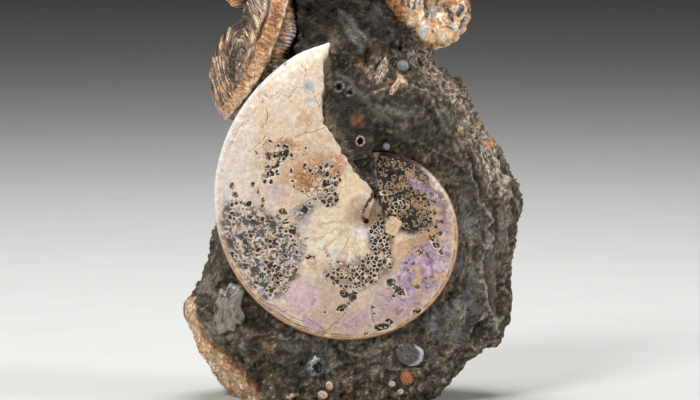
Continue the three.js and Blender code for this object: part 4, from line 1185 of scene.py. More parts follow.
# Chips of colour: place and reach in pixels, turn, colour. The pale grey ones on the right are painted glints
CHIPS_AND_GLINTS = [
    ((494, 158), (4, 1.6), 40, (206, 204, 200)), ((500, 166), (5, 1.8), 50, (216, 214, 210)),
    ((505, 176), (4, 2), 30, (196, 192, 186)), ((498, 184), (4, 1.4), 60, (206, 200, 190)),
    ((486, 150), (3, 1.6), 20, (180, 172, 160)), ((478, 118), (4, 1.4), 60, (190, 176, 156)),
    ((510, 192), (3, 1.6), 50, (198, 190, 180)), ((488, 172), (3, 1.2), 30, (204, 198, 190)),
    ((492, 141), (4, 5), 0, (198, 132, 78)), ((450, 88), (3, 4), 30, (206, 140, 84)),
    ((487, 214), (5, 1.2), 55, (190, 182, 170)), ((481, 246), (4, 1), 62, (180, 172, 160)),
    ((402, 79), (7, 2.4), 48, (232, 196, 158)), ((362, 63), (4, 3), 40, (196, 138, 88)),
    ((461, 128), (2, 6), -30, (196, 168, 130)), ((496, 320), (3, 8), 24, (176, 168, 158)),
    ((290, 396), (7, 2.4), -20, (226, 196, 164)), ((243, 349), (4, 2), 20, (150, 146, 140)),
]


def stone_rays():
    """Directions of the rays round the upright axis, close together where the camera sees the stone, and
    the heights they start from. The last ones fan out over the top."""
    across = np.linspace(-104, 104, 178)
    front = np.arctan2(-(AXIS[1] - 30), across)
    side = np.radians(0.64) * np.arange(1, 36)
    left, right = front[0] - side[::-1], front[-1] + side
    gap = TURN - (right[-1] - left[0])
    behind = right[-1] + gap * np.arange(1, 106) / 106
    turns = np.concatenate([left, front, right, behind])
    heights = np.concatenate([np.linspace(0, TOP_LEVEL, 242), np.full(32, TOP_LEVEL)])
    slopes = np.concatenate([np.zeros(242), np.radians(np.linspace(2.6, 84, 32))])
    return turns, heights, slopes


def under_shell(x, z):
    """Least depth the stone may have where the large ammonite lies over it."""
    dx, dz = x - SHELL_X, z - SHELL_Z
    radius = np.hypot(dx, dz)
    mouth = np.radians(along(MOUTH_EDGE, radius))
    turned = (np.arctan2(dx, dz) - mouth) % TURN
    outer = shell_radius(turned + mouth)
    flank = KEEL_DEPTH - half_thickness(radius, outer)
    return np.where(radius < outer - 0.5, flank + 1.6, 0)


def ring_marks(u, v):
    """How near a point is to the rims of the two round borings, and how deep inside them."""
    rim, hole = np.zeros(len(u)), np.zeros(len(u))
    for spot, reach in BORINGS:
        far = np.hypot(u - spot[0], v - spot[1])
        rim = np.maximum(rim, bump(far, reach, 1.0))
        hole = np.maximum(hole, smooth(reach - 0.4, reach - 2.2, far))
    return rim, hole


def under_small_shells(x, z):
    """One within the outline of a small shell, and nothing well outside it."""
    near = np.zeros(len(x))
    for cx, cz, wide, tall, _, turn in SMALL_SHELLS.values():
        c, s = math.cos(math.radians(turn)), math.sin(math.radians(turn))
        across, up = c * (x - cx) - s * (z - cz), s * (x - cx) + c * (z - cz)
        near = np.maximum(near, smooth(1.35, 0.95, np.hypot(across / (wide / 2), up / (tall / 2))))
    return near


def stone_relief(points, u, v, ahead, fields):
    """How far the broken surface stands out, in millimetres, and masks of its painted edge highlights and
    shade.
    """
    x, y, z = points.T
    drift_u, drift_v, wet, strip, ridge, crust, fibres = fields
    neck = ahead * oval(u, v, *NECK)
    rough = np.clip(0.35 + 0.75 * roughness(x, y, z), 0, 1) * (1 - 0.6 * wet)
    rough = rough * (1 - 0.75 * smooth(-60, -78, x)) * (1 - 0.5 * smooth(0.5, 0.9, neck))
    right = ahead * smooth(-2, 3, drift_u - along(FACET_EDGE, v))
    stretched = points * np.stack([np.ones(len(x)), np.ones(len(x)), mix(1, 0.4, right)], axis=1)
    moved = stretched + 2.2 * np.stack([noise(points, 9, seed) for seed in (31, 32, 33)], axis=1)
    relief = rough * (3.4 * (cells(moved, 15, 34)[0] ** 2 - 0.42)
                      + 1.9 * (cells(moved, 7.5, 36)[0] ** 2 - 0.4))
    large, middling = cells(moved, 13, 86), cells(moved, 6.5, 38)
    facets = (5.2 * tilted(moved, 13, 86, large) + 3.8 * tilted(moved, 6.5, 38, middling)
              + 1.6 * tilted(moved, 3.4, 40))
    relief += (0.3 + 0.7 * rough) * facets
    relief += 0.9 * rough * (0.25 - abs(fractal(points, 11, 42, 3))) + 0.3 * fractal(points, 2.6, 44, 2)
    for _, spot, reach, turned, lift in FLAKES:
        inside = oval(drift_u, drift_v, spot, reach, turned)
        relief += ahead * lift * smooth(0, 0.12, inside) * (0.4 + 0.6 * inside)
    # Painted highlights along the edges, and painted shade below their raised sides
    edge, shade = np.zeros(len(u)), np.zeros(len(u))
    for lift, reach, bright, line in STEPS:
        side = beside_line(mix(u, drift_u, 0.45), mix(v, drift_v, 0.45), line)
        relief += ahead * lift * smooth(-0.8, 0.8, side) * smooth(reach, 0.3 * reach, side)
        edge = np.maximum(edge, ahead * bright * bump(side, 1.0, 1.0))
        shade = np.maximum(shade, ahead * smooth(-reach, -1.5, side) * smooth(0.5, -1.0, side))
    # Painted highlights also along the edges between facets
    first, second, mark, _ = middling
    edge = np.maximum(edge,
                      0.6 * (0.3 + 0.7 * rough) * smooth(0.14, 0.03, second - first) * smooth(0.5, 0.9, mark))
    relief += crust * (1.2 * abs(fibres) + 0.7 * noise(points, 2, 47)) + 1.1 * ridge
    rim, hole = ring_marks(u, v)
    relief += ahead * (0.8 * rim - 2.6 * hole)
    relief += strip * (1.1 * fractal(points, 2.4, 48, 3) + 0.3)
    crack = from_line(u + 2 * noise(flat(u, v), 6, 49), v, DARK_CRACK)[0]
    relief -= ahead * 1.8 * smooth(2.6, 0.4, crack)
    # Small shells lie clear of the broken surface
    relief = mix(relief, np.minimum(relief, 0) - 0.5, ahead * under_small_shells(x, z))
    tone = (1 - 0.7 * wet) * (0.6 * large[2] + 0.4 * mark - 0.5)
    return np.minimum(relief * smooth(-0.5, 3, z), 2.2), right, edge, shade, tone


def stone_tint(points, u, v, ahead, fields, right, edge, shade, tone):
    drift_u, drift_v, wet, strip, ridge, crust, fibres = fields
    blotch, patch, fine = fractal(points, 22, 51), fractal(points, 11, 50), fractal(points, 4, 52, 3)
    tint = np.tile(linear((92, 82, 70)), (len(points), 1))
    tint = painted(tint, [
        ((58, 50, 42), smooth(-0.05, 0.4, blotch) * 0.85),
        ((116, 104, 88), smooth(0.05, 0.4, -blotch) * 0.6),
        ((104, 104, 104), smooth(0.08, 0.35, fractal(points, 15, 53)) * 0.5),
        ((44, 38, 32), smooth(0.1, 0.3, patch) * 0.6),
        ((148, 132, 112), smooth(0.12, 0.35, -patch) * 0.45),
        ((90, 73, 53), right * 0.55),
    ])
    for _, spot, reach, turned, colour, strength, softness, _ in STONE_COLOURS:
        inside = ahead * smooth(-softness, softness, oval(drift_u, drift_v, spot, reach, turned)) * strength
        tint = paint(tint, colour, inside * (0.75 + 0.6 * fine))
    deep = np.maximum(smooth(0.05, 0.6, oval(u, v, *NECK)), smooth(0, 0.5, oval(u, v, *STEINKERN)))
    open_rock = 1 - 0.8 * ahead * deep
    tint = paint(tint, (160, 148, 130), smooth(0.12, 0.36, fine) * 0.5 * open_rock)
    tint = paint(tint, (30, 26, 22), smooth(0.08, 0.34, -fine) * 0.6)
    swirl = fractal(points * np.array([1.3, 1, 0.5]), 3, 54, 3)
    tint = paint(tint, (160, 154, 146), ahead * (1 - wet) * smooth(0.2, 0.4, swirl) * 0.65 * open_rock)
    # Warmer stone all over, with painted shade over the neck between the two hooked ammonites
    neck = (ahead * smooth(0, 0.5, oval(u, v, *NECK)))[:, None]
    warmth_and_neck_shade = mix(np.array([0.95, 0.9, 0.81]), np.array([0.66, 0.58, 0.49]), neck)
    tint = tint * warmth_and_neck_shade * (1 + 1.1 * tone)[:, None]
    # Raised flakes painted lighter as if lit, knocked-out ones painted darker as if in shade
    for _, spot, reach, turned, lift in FLAKES:
        inside = smooth(0, 0.1, oval(drift_u, drift_v, spot, reach, turned)) * ahead
        tint = paint(tint, (132, 126, 118) if lift > 0 else (52, 47, 43), inside * 0.55)
    # Cool streaks down the hollow right of the shell
    streak = fractal(points * np.array([1.0, 1.0, 0.35]), 5, 87, 3)
    cool = ahead * smooth(-0.1, 0.5, oval(drift_u, drift_v, *COOL_HOLLOW))
    tint = painted(tint, [
        ((116, 120, 126), cool * smooth(0.0, 0.28, streak) * 0.7),
        ((52, 48, 45), cool * smooth(0.05, 0.3, -streak) * 0.6),
        # Painted shade below the edges, and painted highlights along them
        ((40, 35, 31), shade * 0.6),
        ((196, 184, 166), edge * smooth(-0.3, 0.2, fine) * (1 - 0.7 * ahead * deep)),
        ((122, 114, 104), ridge * 0.55),
        ((128, 114, 94), strip * 0.9),
        ((60, 52, 43), strip * smooth(0, 0.35, fractal(points, 2.4, 55, 2))),
    ])
    rim, hole = ring_marks(u, v)
    tint = painted(tint, [
        ((168, 164, 158), ahead * rim * smooth(-0.3, 0.3, fine + 0.1)),
        ((18, 16, 15), ahead * hole),
        ((204, 182, 156), crust * smooth(-0.05, 0.3, fibres) * 0.9),
        ((72, 62, 52), crust * smooth(0.05, 0.35, -fibres) * 0.85),
        ((214, 210, 204), crust * smooth(0.14, 0.34, fractal(points, 3, 85, 2)) * 0.95),
        ((206, 140, 86), crust * smooth(0.36, 0.5, fractal(points, 4, 56, 2))),
        ((66, 56, 46), crust * smooth(0.2, 0.4, fractal(points, 6, 57, 2)) * 0.8),
    ])
    debris = ahead * smooth(0, 0.4, oval(drift_u, drift_v, *DEBRIS))
    speckle = fractal(points, 3, 58, 2)
    tint = paint(tint, (226, 206, 184), debris * smooth(0.05, 0.3, speckle))
    tint = paint(tint, (46, 38, 31), debris * smooth(0.05, 0.3, -speckle))
    # Chips of the stone's own colour, and painted glints
    for spot, reach, turned, colour in CHIPS_AND_GLINTS:
        tint = paint(tint, colour, ahead * smooth(-0.1, 0.25, oval(drift_u, drift_v, spot, reach, turned)))
    # The pale weathered rind on the lower left edge
    far, reached = from_line(u, v, RIND)
    far = far - along(RIND_WIDTH, reached)
    rind = ahead * smooth(2, -2, far + 5 * fractal(points, 9, 59))
    tint = painted(tint, [
        ((226, 186, 146), rind * (0.8 + 0.5 * fine)),
        ((178, 116, 68), ahead * bump(far, 1, 2.5) * (v > RIND_TOP) * 0.8),
        ((250, 226, 196), rind * smooth(0.0, 0.35, fractal(points, 5, 60))),
    ])
    weathered = (1 - ahead) * smooth(0.12, 0.3, fractal(points, 34, 61))
    return paint(tint, (172, 140, 108), weathered * 0.6), rind


def stone():
    turns, heights, slopes = stone_rays()
    turn, height = np.meshgrid(turns, heights)
    slope = np.repeat(slopes[:, None], len(turns), axis=1)
    rays = np.stack([np.cos(turn) * np.cos(slope), np.sin(turn) * np.cos(slope), np.sin(slope)],
                    axis=-1).reshape(-1, 3)
    starts = np.stack([np.full(turn.size, AXIS[0]), np.full(turn.size, AXIS[1]), height.ravel()], axis=1)
    rings = reach_stone(starts.astype(float), rays).reshape(*turn.shape, 3)
    top = reach_stone(np.array([[AXIS[0], AXIS[1], TOP_LEVEL]], float), np.array([[0.0, 0.0, 1.0]]))[0]
    points, faces = closed_grid((*AXIS, 0), rings, top)
    outward = normals_of(points, faces)
    u, v = in_photo(points)
    ahead = smooth(76, 58, points[:, 1]) * smooth(0.45, 0.05, outward[:, 1])
    drift_u = u + 4 * fractal(points, 14, 1) + 1.6 * noise(points, 3, 5)
    drift_v = v + 4 * fractal(points, 14, 2) + 1.6 * noise(points, 3, 6)
    wet = np.zeros(len(u))
    for _, spot, reach, turned, _, _, softness, gloss in STONE_COLOURS:
        wet = np.maximum(wet,
                         ahead * gloss
                         * smooth(-softness, softness, oval(drift_u, drift_v, spot, reach, turned)))
    # The strip of matrix along the broken mouth
    dx, dz = points[:, 0] - SHELL_X, points[:, 2] - SHELL_Z
    radius = np.hypot(dx, dz)
    past = (np.arctan2(dx, dz) - np.radians(along(MOUTH_EDGE, radius))) * radius
    strip = ahead * smooth(6.8, 5.2, past + 1.2 * noise(points, 5, 43)) * smooth(-3, 0, past)
    strip *= smooth(20, 30, radius) * smooth(134, 122, radius)
    wet = wet * (1 - strip)
    ridge = ahead * smooth(4.2, 1, from_line(drift_u, drift_v, PALE_RIDGE)[0])
    crust = ahead * smooth(16, 6, from_line(drift_u, drift_v, CRUST)[0])
    fibres = noise(points * np.array([1.6, 1.6, 0.5]), 2.2, 41)
    fields = (drift_u, drift_v, wet, strip, ridge, crust, fibres)
    relief, right, edge, shade, tone = stone_relief(points, u, v, ahead, fields)
    low, high = box_of("stone")
    points = np.clip(points + relief[:, None] * outward, low, high)
    points[:, 1] = np.maximum(points[:, 1], under_shell(points[:, 0], points[:, 2]))
    tint, rind = stone_tint(points, u, v, ahead, fields, right, edge, shade, tone)
    return add_mesh("stone_block", points, faces, tint=tint, wet=wet * (1 - rind))


# Hooked ammonites: the same coils and hooks as their solids

def coil_form(radius, growth, thickness, squareness, navel, turned, raise_by, columns, rows):
    share = np.linspace(0, 1, rows + 1)[1:]
    angle = turned + TURN * np.arange(columns) / (columns - 1)
    angle[-1] = turned + TURN
    share, angle = np.meshgrid(share, angle, indexing="ij")
    outer = radius * np.exp(growth * (angle - turned))
    full = thickness * np.sqrt(np.maximum(0, 1 - share ** squareness))
    half = mix(navel, full, smooth(0.02, 0.42, share))
    half[-1] = 0
    reach = share ** 0.8 * outer
    x, z = reach * np.sin(angle), raise_by + reach * np.cos(angle)
    front = np.stack([x, -half, z], axis=-1)
    back = np.stack([x, half, z], axis=-1)[:-1][::-1]
    return closed_grid((0, -navel, raise_by), np.concatenate([front, back]), (0, navel, raise_by))


def curve_through(points, count):
    """Evenly spaced points on a smooth curve through the given ones, and its direction there."""
    p = np.array([2 * np.array(points[0]) - points[1], *points, 2 * np.array(points[-1]) - points[-2]], float)
    dense = []
    for n in range(1, len(p) - 2):
        t = np.linspace(0, 1, 60, endpoint=False)[:, None]
        a, b, c, d = p[n - 1], p[n], p[n + 1], p[n + 2]
        dense.append(0.5 * (2 * b + (c - a) * t + (2 * a - 5 * b + 4 * c - d) * t ** 2
                            + (3 * b - a - 3 * c + d) * t ** 3))
    dense = np.concatenate([*dense, p[-2:-1]])
    reached = np.concatenate([[0], np.cumsum(np.linalg.norm(np.diff(dense, axis=0), axis=1))])
    wanted = np.linspace(0, reached[-1], count)
    line = np.stack([np.interp(wanted, reached, dense[:, axis]) for axis in range(2)], axis=1)
    ahead = np.gradient(line, axis=0)
    return line, ahead / np.linalg.norm(ahead, axis=1)[:, None]


def hook_form(path, half, thickness, rows, sides):
    line, ahead = curve_through(path, rows)
    t = np.linspace(0, 1, rows)
    swell = mix(0.8, 1, np.sin(math.pi * np.minimum(1, t + 0.25)))
    around = TURN * np.arange(sides) / sides
    rings = np.zeros((rows, sides, 3))
    rings[..., 0] = line[:, :1] + ahead[:, 1:] * (half * swell)[:, None] * np.cos(around)
    rings[..., 1] = (thickness * swell)[:, None] * np.sin(around)
    rings[..., 2] = line[:, 1:] - ahead[:, :1] * (half * swell)[:, None] * np.cos(around)
    return closed_grid((line[0, 0], 0, line[0, 1]), rings, (line[-1, 0], 0, line[-1, 1]))


def plain_object(points, faces):
    mesh = bpy.data.meshes.new("part")
    mesh.from_pydata(points.tolist(), [], [list(face) for face in faces])
    signed = np.einsum("ij,ij->i", points, normals_of(points, faces)).sum()
    if signed < 0:
        mesh.flip_normals()
    part = bpy.data.objects.new("part", mesh)
    bpy.context.scene.collection.objects.link(part)
    return part


def joined(forms):
    """Points and triangles of closed forms joined into one closed surface."""
    parts = [plain_object(*form) for form in forms]
    for other in parts[1:]:
        join = parts[0].modifiers.new("join", "BOOLEAN")
        join.operation, join.solver, join.object = "UNION", "MANIFOLD", other
    shown = parts[0].evaluated_get(bpy.context.evaluated_depsgraph_get())
    mesh = bpy.data.meshes.new_from_object(shown)
    points = np.zeros(len(mesh.vertices) * 3)
    mesh.vertices.foreach_get("co", points)
    points = points.reshape(-1, 3)
    normals = np.zeros(len(mesh.vertices) * 3)
    mesh.vertices.foreach_get("normal", normals)
    faces = [list(face.vertices) for face in mesh.polygons]
    for part in parts:
        bpy.data.objects.remove(part)
    return points, faces, normals.reshape(-1, 3)


def placed(position, rotation):
    """Matrix of a turn about X, Y and Z as the solids use it, and a move in millimetres and depth."""
    x, y, z = (math.radians(angle) for angle in rotation)
    turn = Matrix.Rotation(x, 4, "X") @ Matrix.Rotation(y, 4, "Y") @ Matrix.Rotation(z, 4, "Z")
    return np.array(Matrix.Translation(position) @ turn)


LEFT_PLACE = placed((-60, 63, 243), (0, 8, -62))
RIGHT_PLACE = placed((61, 62, 280), (4, 0, 12))
LEFT_HOOK = [(6, -44), (16, -39), (23, -27), (25, -8), (25, 8), (23, 22), (14, 36), (0, 41), (-13, 36),
             (-22, 28)]
RIGHT_HOOK = [(-12, -20), (-18, -6), (-17, 8), (-9, 21), (4, 25), (15, 19), (20, 8)]
# Parts of the left one in the photograph: its navel, fields of colour on its flank, and painted glints on its
# left shoulder
LEFT_NAVEL = (234, 57), (4, 10), 20
LEFT_SHOULDER_GLINTS, LEFT_DARK = ((222, 50), (9, 34), 10), ((236, 62), (9, 24), 10)
LEFT_LOW, LEFT_TOP = ((210, 102), (6, 24), -12), ((232, 6), (10, 14))
LINES_CENTRE = (240, 56)
# Where parts of its flank fade in or out downwards, in pixels
GROOVE_FADE, SHOULDER_FADE, BEADS_FADE, BAND_FADE = (48, 34), (86, 60), (58, 44), (10, 30)
# Its ridge: down, and to the right, in pixels
LEFT_RIDGE = [
    (-20, 292), (0, 287), (14, 285), (24, 281), (34, 277.5), (46, 272.5), (59, 268.5), (66, 265), (75, 260),
    (87, 253.5), (102, 242.5), (113, 232), (124, 220),
]


def left_hooked():
    coil = coil_form(35, 0.01, 17, 3.4, 9, math.radians(20), -22, 300, 84)
    hook = hook_form(LEFT_HOOK, 14, 18.5, 190, 130)
    local, faces, normals = joined([coil, hook])
    points = local @ LEFT_PLACE[:3, :3].T + LEFT_PLACE[:3, 3]
    outward = normals @ LEFT_PLACE[:3, :3].T
    u, v = in_photo(points)
    ahead = smooth(0.35, -0.1, outward[:, 1])
    slope = 0.92
    across = (u + 1.2 * noise(points, 8, 61) - along(LEFT_RIDGE, v)) * slope
    # Growth lines flow round the flank, broken and uneven, and rungs cross the venter
    lines_u, lines_v = u + 5 * fractal(points, 26, 62, 2), v + 5 * fractal(points, 30, 63, 2)
    out_u, out_v = lines_u - LINES_CENTRE[0], lines_v - LINES_CENTRE[1]
    ring = np.hypot(out_u, out_v / 2.5)
    swing = np.arctan2(out_v, 2.5 * out_u)
    flow = np.stack([ring / 0.95, 1.5 * swing, points[:, 1] / 14], axis=1)
    streak, broad = fractal(flow, 1.2, 64, 3), fractal(flow, 4.4, 79, 2)
    behind_lines = np.sin(TURN * (local[:, 2] + 2 * noise(points, 14, 65)) / 2.4)
    rung_at = v - 0.35 * across + 1.6 * noise(points, 7, 66)
    rungs = fractal(np.stack([across / 9, rung_at / 1.5, points[:, 1] / 9], axis=1), 1.3, 80, 2)
    band = smooth(-15.5, -13.5, across) * smooth(-1.2, -3, across) * ahead
    groove = smooth(-18.5, -17, across) * smooth(-14, -15.5, across) * ahead * smooth(*GROOVE_FADE, v)
    ridge = bump(across, -0.6, 1.3) * ahead
    shoulder = bump(across, -19.5, 1.6) * ahead * smooth(*SHOULDER_FADE, v)
    dark = smooth(1, 3, across) * ahead
    steps_at = (v - 0.3 * across + noise(points, 6, 81)) / 3.4
    bead = 0.5 + 0.5 * np.sin(TURN * steps_at)
    beads = bump(across, 17 - 0.1 * v, 6.5 - 0.05 * v) * ahead * smooth(*BEADS_FADE, v)
    navel = oval(u, v, *LEFT_NAVEL)
    plain = 1 - np.clip(band + groove + ridge + dark, 0, 1)
    relief = (1.3 * streak + 0.9 * broad) * plain * ahead + 0.35 * behind_lines * (1 - ahead)
    relief += band * (1.0 * rungs
                      + 0.3 * fractal(points, 5, 82, 2)) - 1.2 * groove + 0.9 * ridge + 0.8 * shoulder
    relief += beads * (1.2 + 0.9 * bead) - 0.8 * dark * (1 - beads) + 0.5 * dark * rungs
    relief += 0.4 * fractal(points, 8, 67, 3) - 1.2 * smooth(0, 0.7, navel) * ahead
    points = points + relief[:, None] * outward

    blotch, fine = fractal(points, 14, 68), fractal(points, 4, 69, 3)
    tint = np.tile(linear((124, 98, 74)), (len(points), 1))
    tint = paint(tint, (176, 122, 78), smooth(0.0, 0.35, blotch) * 0.7)
    tint = paint(tint, (112, 110, 106), smooth(0.0, 0.3, -blotch) * 0.4)
    # Painted glints on the left shoulder
    left = ahead * smooth(-0.3, 0.6, oval(u, v, *LEFT_SHOULDER_GLINTS)) * plain
    tint = painted(tint, [
        ((224, 186, 154), left * smooth(-0.1, 0.4, streak + 0.5 * fine) * 0.8),
        ((226, 190, 154), smooth(0.08, 0.32, streak + 0.4 * fine) * plain * 0.85),
        ((44, 36, 30), smooth(0.02, 0.28, -streak - 0.3 * fine) * plain * 0.95),
        ((60, 54, 50), smooth(0.1, 0.4, -broad) * plain * 0.7),
        ((48, 42, 38), ahead * smooth(-0.3, 0.5, oval(u, v, *LEFT_DARK)) * smooth(-0.2, 0.3, fine) * 0.8),
        ((198, 134, 76), ahead * smooth(0, 0.5, oval(u, v, *LEFT_LOW)) * smooth(-0.2, 0.3, fine) * 0.8),
        ((196, 130, 74), ahead * smooth(0, 0.5, oval(u, v, *LEFT_TOP)) * 0.7),
        ((198, 138, 86), band),
        ((116, 74, 44), band * smooth(0.0, 0.35, -rungs) * 0.85),
        ((236, 196, 150), band * smooth(0.1, 0.45, rungs) * smooth(*BAND_FADE, v) * 0.85),
        ((246, 222, 192), ahead * bump(across, -7, 5) * bump(v, 80, 20) * smooth(-0.2, 0.3, fine)),
        # Painted shade in the groove beside the ridge
        ((84, 58, 38), groove),
        ((206, 178, 148), shoulder * smooth(-0.3, 0.2, fine) * 0.8),
        ((244, 214, 176), ridge * smooth(-0.4, 0.1, fine)),
        ((46, 38, 31), dark),
        ((184, 124, 72), dark * smooth(24, 10, across) * smooth(-0.15, 0.25, rungs + 0.5 * fine)),
        ((58, 44, 33), beads * smooth(0.55, 0.2, bead)),
        ((198, 170, 140), beads * smooth(0.45, 0.8, bead) * smooth(-0.3, 0.2, fine + 0.2)),
        ((196, 180, 200), beads * bead * bump(v, 34, 14) * 0.8),
        ((18, 15, 14), smooth(0, 0.6, navel) * ahead * smooth(-0.3, 0.1, fine) * 0.9),
    ])
    wet = ahead * np.clip(ridge + beads + 0.5 * band + 0.7 * smooth(0.1, 0.4, streak) + 0.3, 0, 1)
    low, high = box_of("hooked_ammonite_left")
    points = np.clip(points, low, high)
    lines = np.clip(plain + 0.35 * band, 0, 1) * smooth(0.1, -0.4, outward[:, 1])
    return add_mesh("hooked_ammonite_left_shell", points, faces, tint=tint, wet=wet, flow=ring / 10,
                    lines=lines)


# Spines of the right hooked ammonite: degrees round the coil
SPINES = [96, 114, 132, 150, 168, 186, 204, 222]
# Dark gaps in its nacre: points in pixels and width
WEDGES = [
    ([(426, 0), (426, 8), (427, 15)], 2.6), ([(446, 8), (450, 14), (453, 21)], 2.6),
    ([(416, 0), (413, 9)], 1.6), ([(408, 0), (409, 6)], 2.2), ([(433, 30), (434, 32)], 1.6),
    ([(461, 7), (459, 15)], 3.2), ([(466, 18), (459, 27)], 2.4), ([(420, 0), (420, 5)], 1.4),
    ([(402, 0), (404, 5)], 1.6), ([(436, 0), (437, 5)], 1.4), ([(447, 27), (452, 30)], 1.6),
    ([(470, 6), (466, 13)], 1.6), ([(443, 6), (445, 12)], 1.4),
]


# Painted glints on its nacre: place and reach in pixels
GLINTS = [((424, 28), (5, 9)), ((432, 12), (4, 8)), ((452, 28), (5, 4))]


def right_hooked():
    coil = coil_form(26.5, 0.012, 17, 3.0, 8, math.radians(200), -14, 250, 70)
    hook = hook_form(RIGHT_HOOK, 13.5, 16.5, 120, 110)
    local, faces, normals = joined([coil, hook])
    outer = 26.5
    dx, dz = local[:, 0], local[:, 2] + 14
    angle = np.degrees(np.arctan2(dx, dz)) % 360
    share = np.hypot(dx, dz) / outer
    relief = np.zeros(len(local))
    front = smooth(0.3, -0.2, normals[:, 1])
    # A few broad folds run outwards over the flank, and finer ribs cross the venter
    bend = noise(local, 14, 83)
    folds = np.sin(np.radians(angle * 9 + 60 * share) + 1.2 * bend)
    relief += 0.9 * folds * smooth(0.2, 0.5, share) * smooth(1.0, 0.7, share)
    relief += 0.14 * np.sin(np.radians(angle * 40 + 30 * share) + 2 * bend) * smooth(0.5, 0.9, share)
    points = local @ RIGHT_PLACE[:3, :3].T + RIGHT_PLACE[:3, 3]
    outward = normals @ RIGHT_PLACE[:3, :3].T
    u, v = in_photo(points)
    knob = np.zeros(len(local))
    for row, (reach, depth, height) in enumerate(((0.78, 0.82, 1.3), (0.95, 0.5, 1.7))):
        for degrees in SPINES:
            turned = math.radians(degrees + 9 * row)
            spot = np.array([reach * outer * math.sin(turned), -depth * 17,
                             -14 + reach * outer * math.cos(turned)])
            far = np.linalg.norm(local - spot, axis=1)
            peak = smooth(4.6, 0.3, far)
            relief += height * peak
            knob = np.maximum(knob, peak)
    relief += 0.6 * fractal(points, 9, 71, 3) + 0.12 * noise(points, 2, 72)
    wedges = np.zeros(len(local))
    for line, width in WEDGES:
        far = from_line(u + 1.6 * noise(points, 4, 73), v + 1.6 * noise(points, 4, 74), line)[0]
        wedges = np.maximum(wedges, smooth(width, width - 1.4, far) * front)
    relief -= 1.0 * wedges
    points = points + relief[:, None] * outward
    blotch, fine = fractal(points, 13, 75), fractal(points, 4, 76, 3)
    tint = np.tile(linear((248, 192, 134)), (len(points), 1))
    tint = painted(tint, [
        ((248, 224, 194), smooth(0.0, 0.4, blotch) * 0.85),
        ((196, 126, 68), smooth(0.05, 0.45, -blotch) * 0.7),
        ((250, 236, 218), smooth(0.0, 0.8, folds) * smooth(0.95, 0.6, share) * 0.7),
        ((198, 126, 66), smooth(0.7, 0.95, share) * 0.7),
        ((110, 66, 36), smooth(0.1, 0.4, -fine) * smooth(0.6, 0.95, share) * 0.8),
        ((150, 100, 62), smooth(0.25, 0.45, fractal(points, 3, 84, 2)) * 0.6),
        ((222, 204, 212), smooth(0.2, 0.45, fractal(points, 9, 77)) * 0.5),
        ((255, 226, 180), knob * 0.6),
    ])
    # Painted highlights where its glossy nacre catches the light
    for spot, reach in GLINTS:
        glint = oval(u, v, spot, reach, 20) + 0.5 * fine
        tint = paint(tint, (255, 248, 238), front * smooth(-0.2, 0.5, glint) * 0.9)
    tint = painted(tint, [
        ((44, 38, 34), wedges * 0.95),
        ((160, 154, 154), wedges * smooth(0.05, 0.3, fine) * 0.8),
        ((52, 44, 38), (1 - front) * smooth(-0.1, 0.3, fractal(points, 16, 78)) * 0.8),
    ])
    low, high = box_of("hooked_ammonite_right")
    points = np.clip(points, low, high)
    return add_mesh("hooked_ammonite_right_shell", points, faces, tint=tint)


# Small shells

def dome(name, form, columns=56, rings=22):
    """A small shell in the place of its solid. form gives the outline, the height, the colour of each
    point, from its angle and its share of the way out, for a shell that is wide by tall and stands out by
    rise."""
    place = SMALL_PLACES[name]
    share = np.linspace(0, 1, rings + 1)[1:]
    share, angle = np.meshgrid(share, TURN * np.arange(columns) / columns, indexing="ij")
    outline, height, tint = form(share, angle)
    across = place["wide"] / 2 * outline * share * np.cos(angle)
    up = place["tall"] / 2 * outline * share * np.sin(angle)
    front = np.stack([across, -place["rise"] * height, up], axis=-1)
    back_share = np.array([0.9, 0.5])[:, None] * np.ones(columns)
    back = np.stack([across[-1] * back_share, place["rise"] * np.sqrt(1 - back_share ** 2),
                     up[-1] * back_share], axis=-1)
    middle = form(np.zeros((1, columns)), angle[:1])
    first = (0, -place["rise"] * float(middle[1].mean()), 0)
    points, faces = closed_grid(first, np.concatenate([front, back]), (0, place["rise"], 0))
    colours = np.concatenate([tint.reshape(-1, 3), np.repeat(tint[-1:], 2, axis=0).reshape(-1, 3)])
    colours = np.concatenate([colours, middle[2][0, :1], tint[-1, :1]])
    faces = [face[::-1] for face in faces]
    matrix = placed(place["position"], place["rotation"])
    points = points @ matrix[:3, :3].T + matrix[:3, 3]
    low, high = box_of(name)
    return add_mesh(f"{name}_form", np.clip(points, low, high), faces, tint=colours)


def coloured(share, colour):
    return np.broadcast_to(linear(colour), (*share.shape, 3)).copy()


def paint_grid(tint, colour, share):
    return tint + (linear(colour) - tint) * np.clip(share, 0, 1)[..., None]


def wavy(share, angle, seed, depth=0.08, size=1.0):
    """An uneven value for each point of a small shell, the same right round."""
    points = np.stack([share * np.cos(angle) / size, share * np.sin(angle) / size,
                       np.full_like(share, seed)], axis=-1)
    return depth * fractal(points.reshape(-1, 3), 0.5, seed).reshape(share.shape)


def dome_height(share, power=2.0):
    return np.sqrt(np.maximum(0, 1 - share ** power))


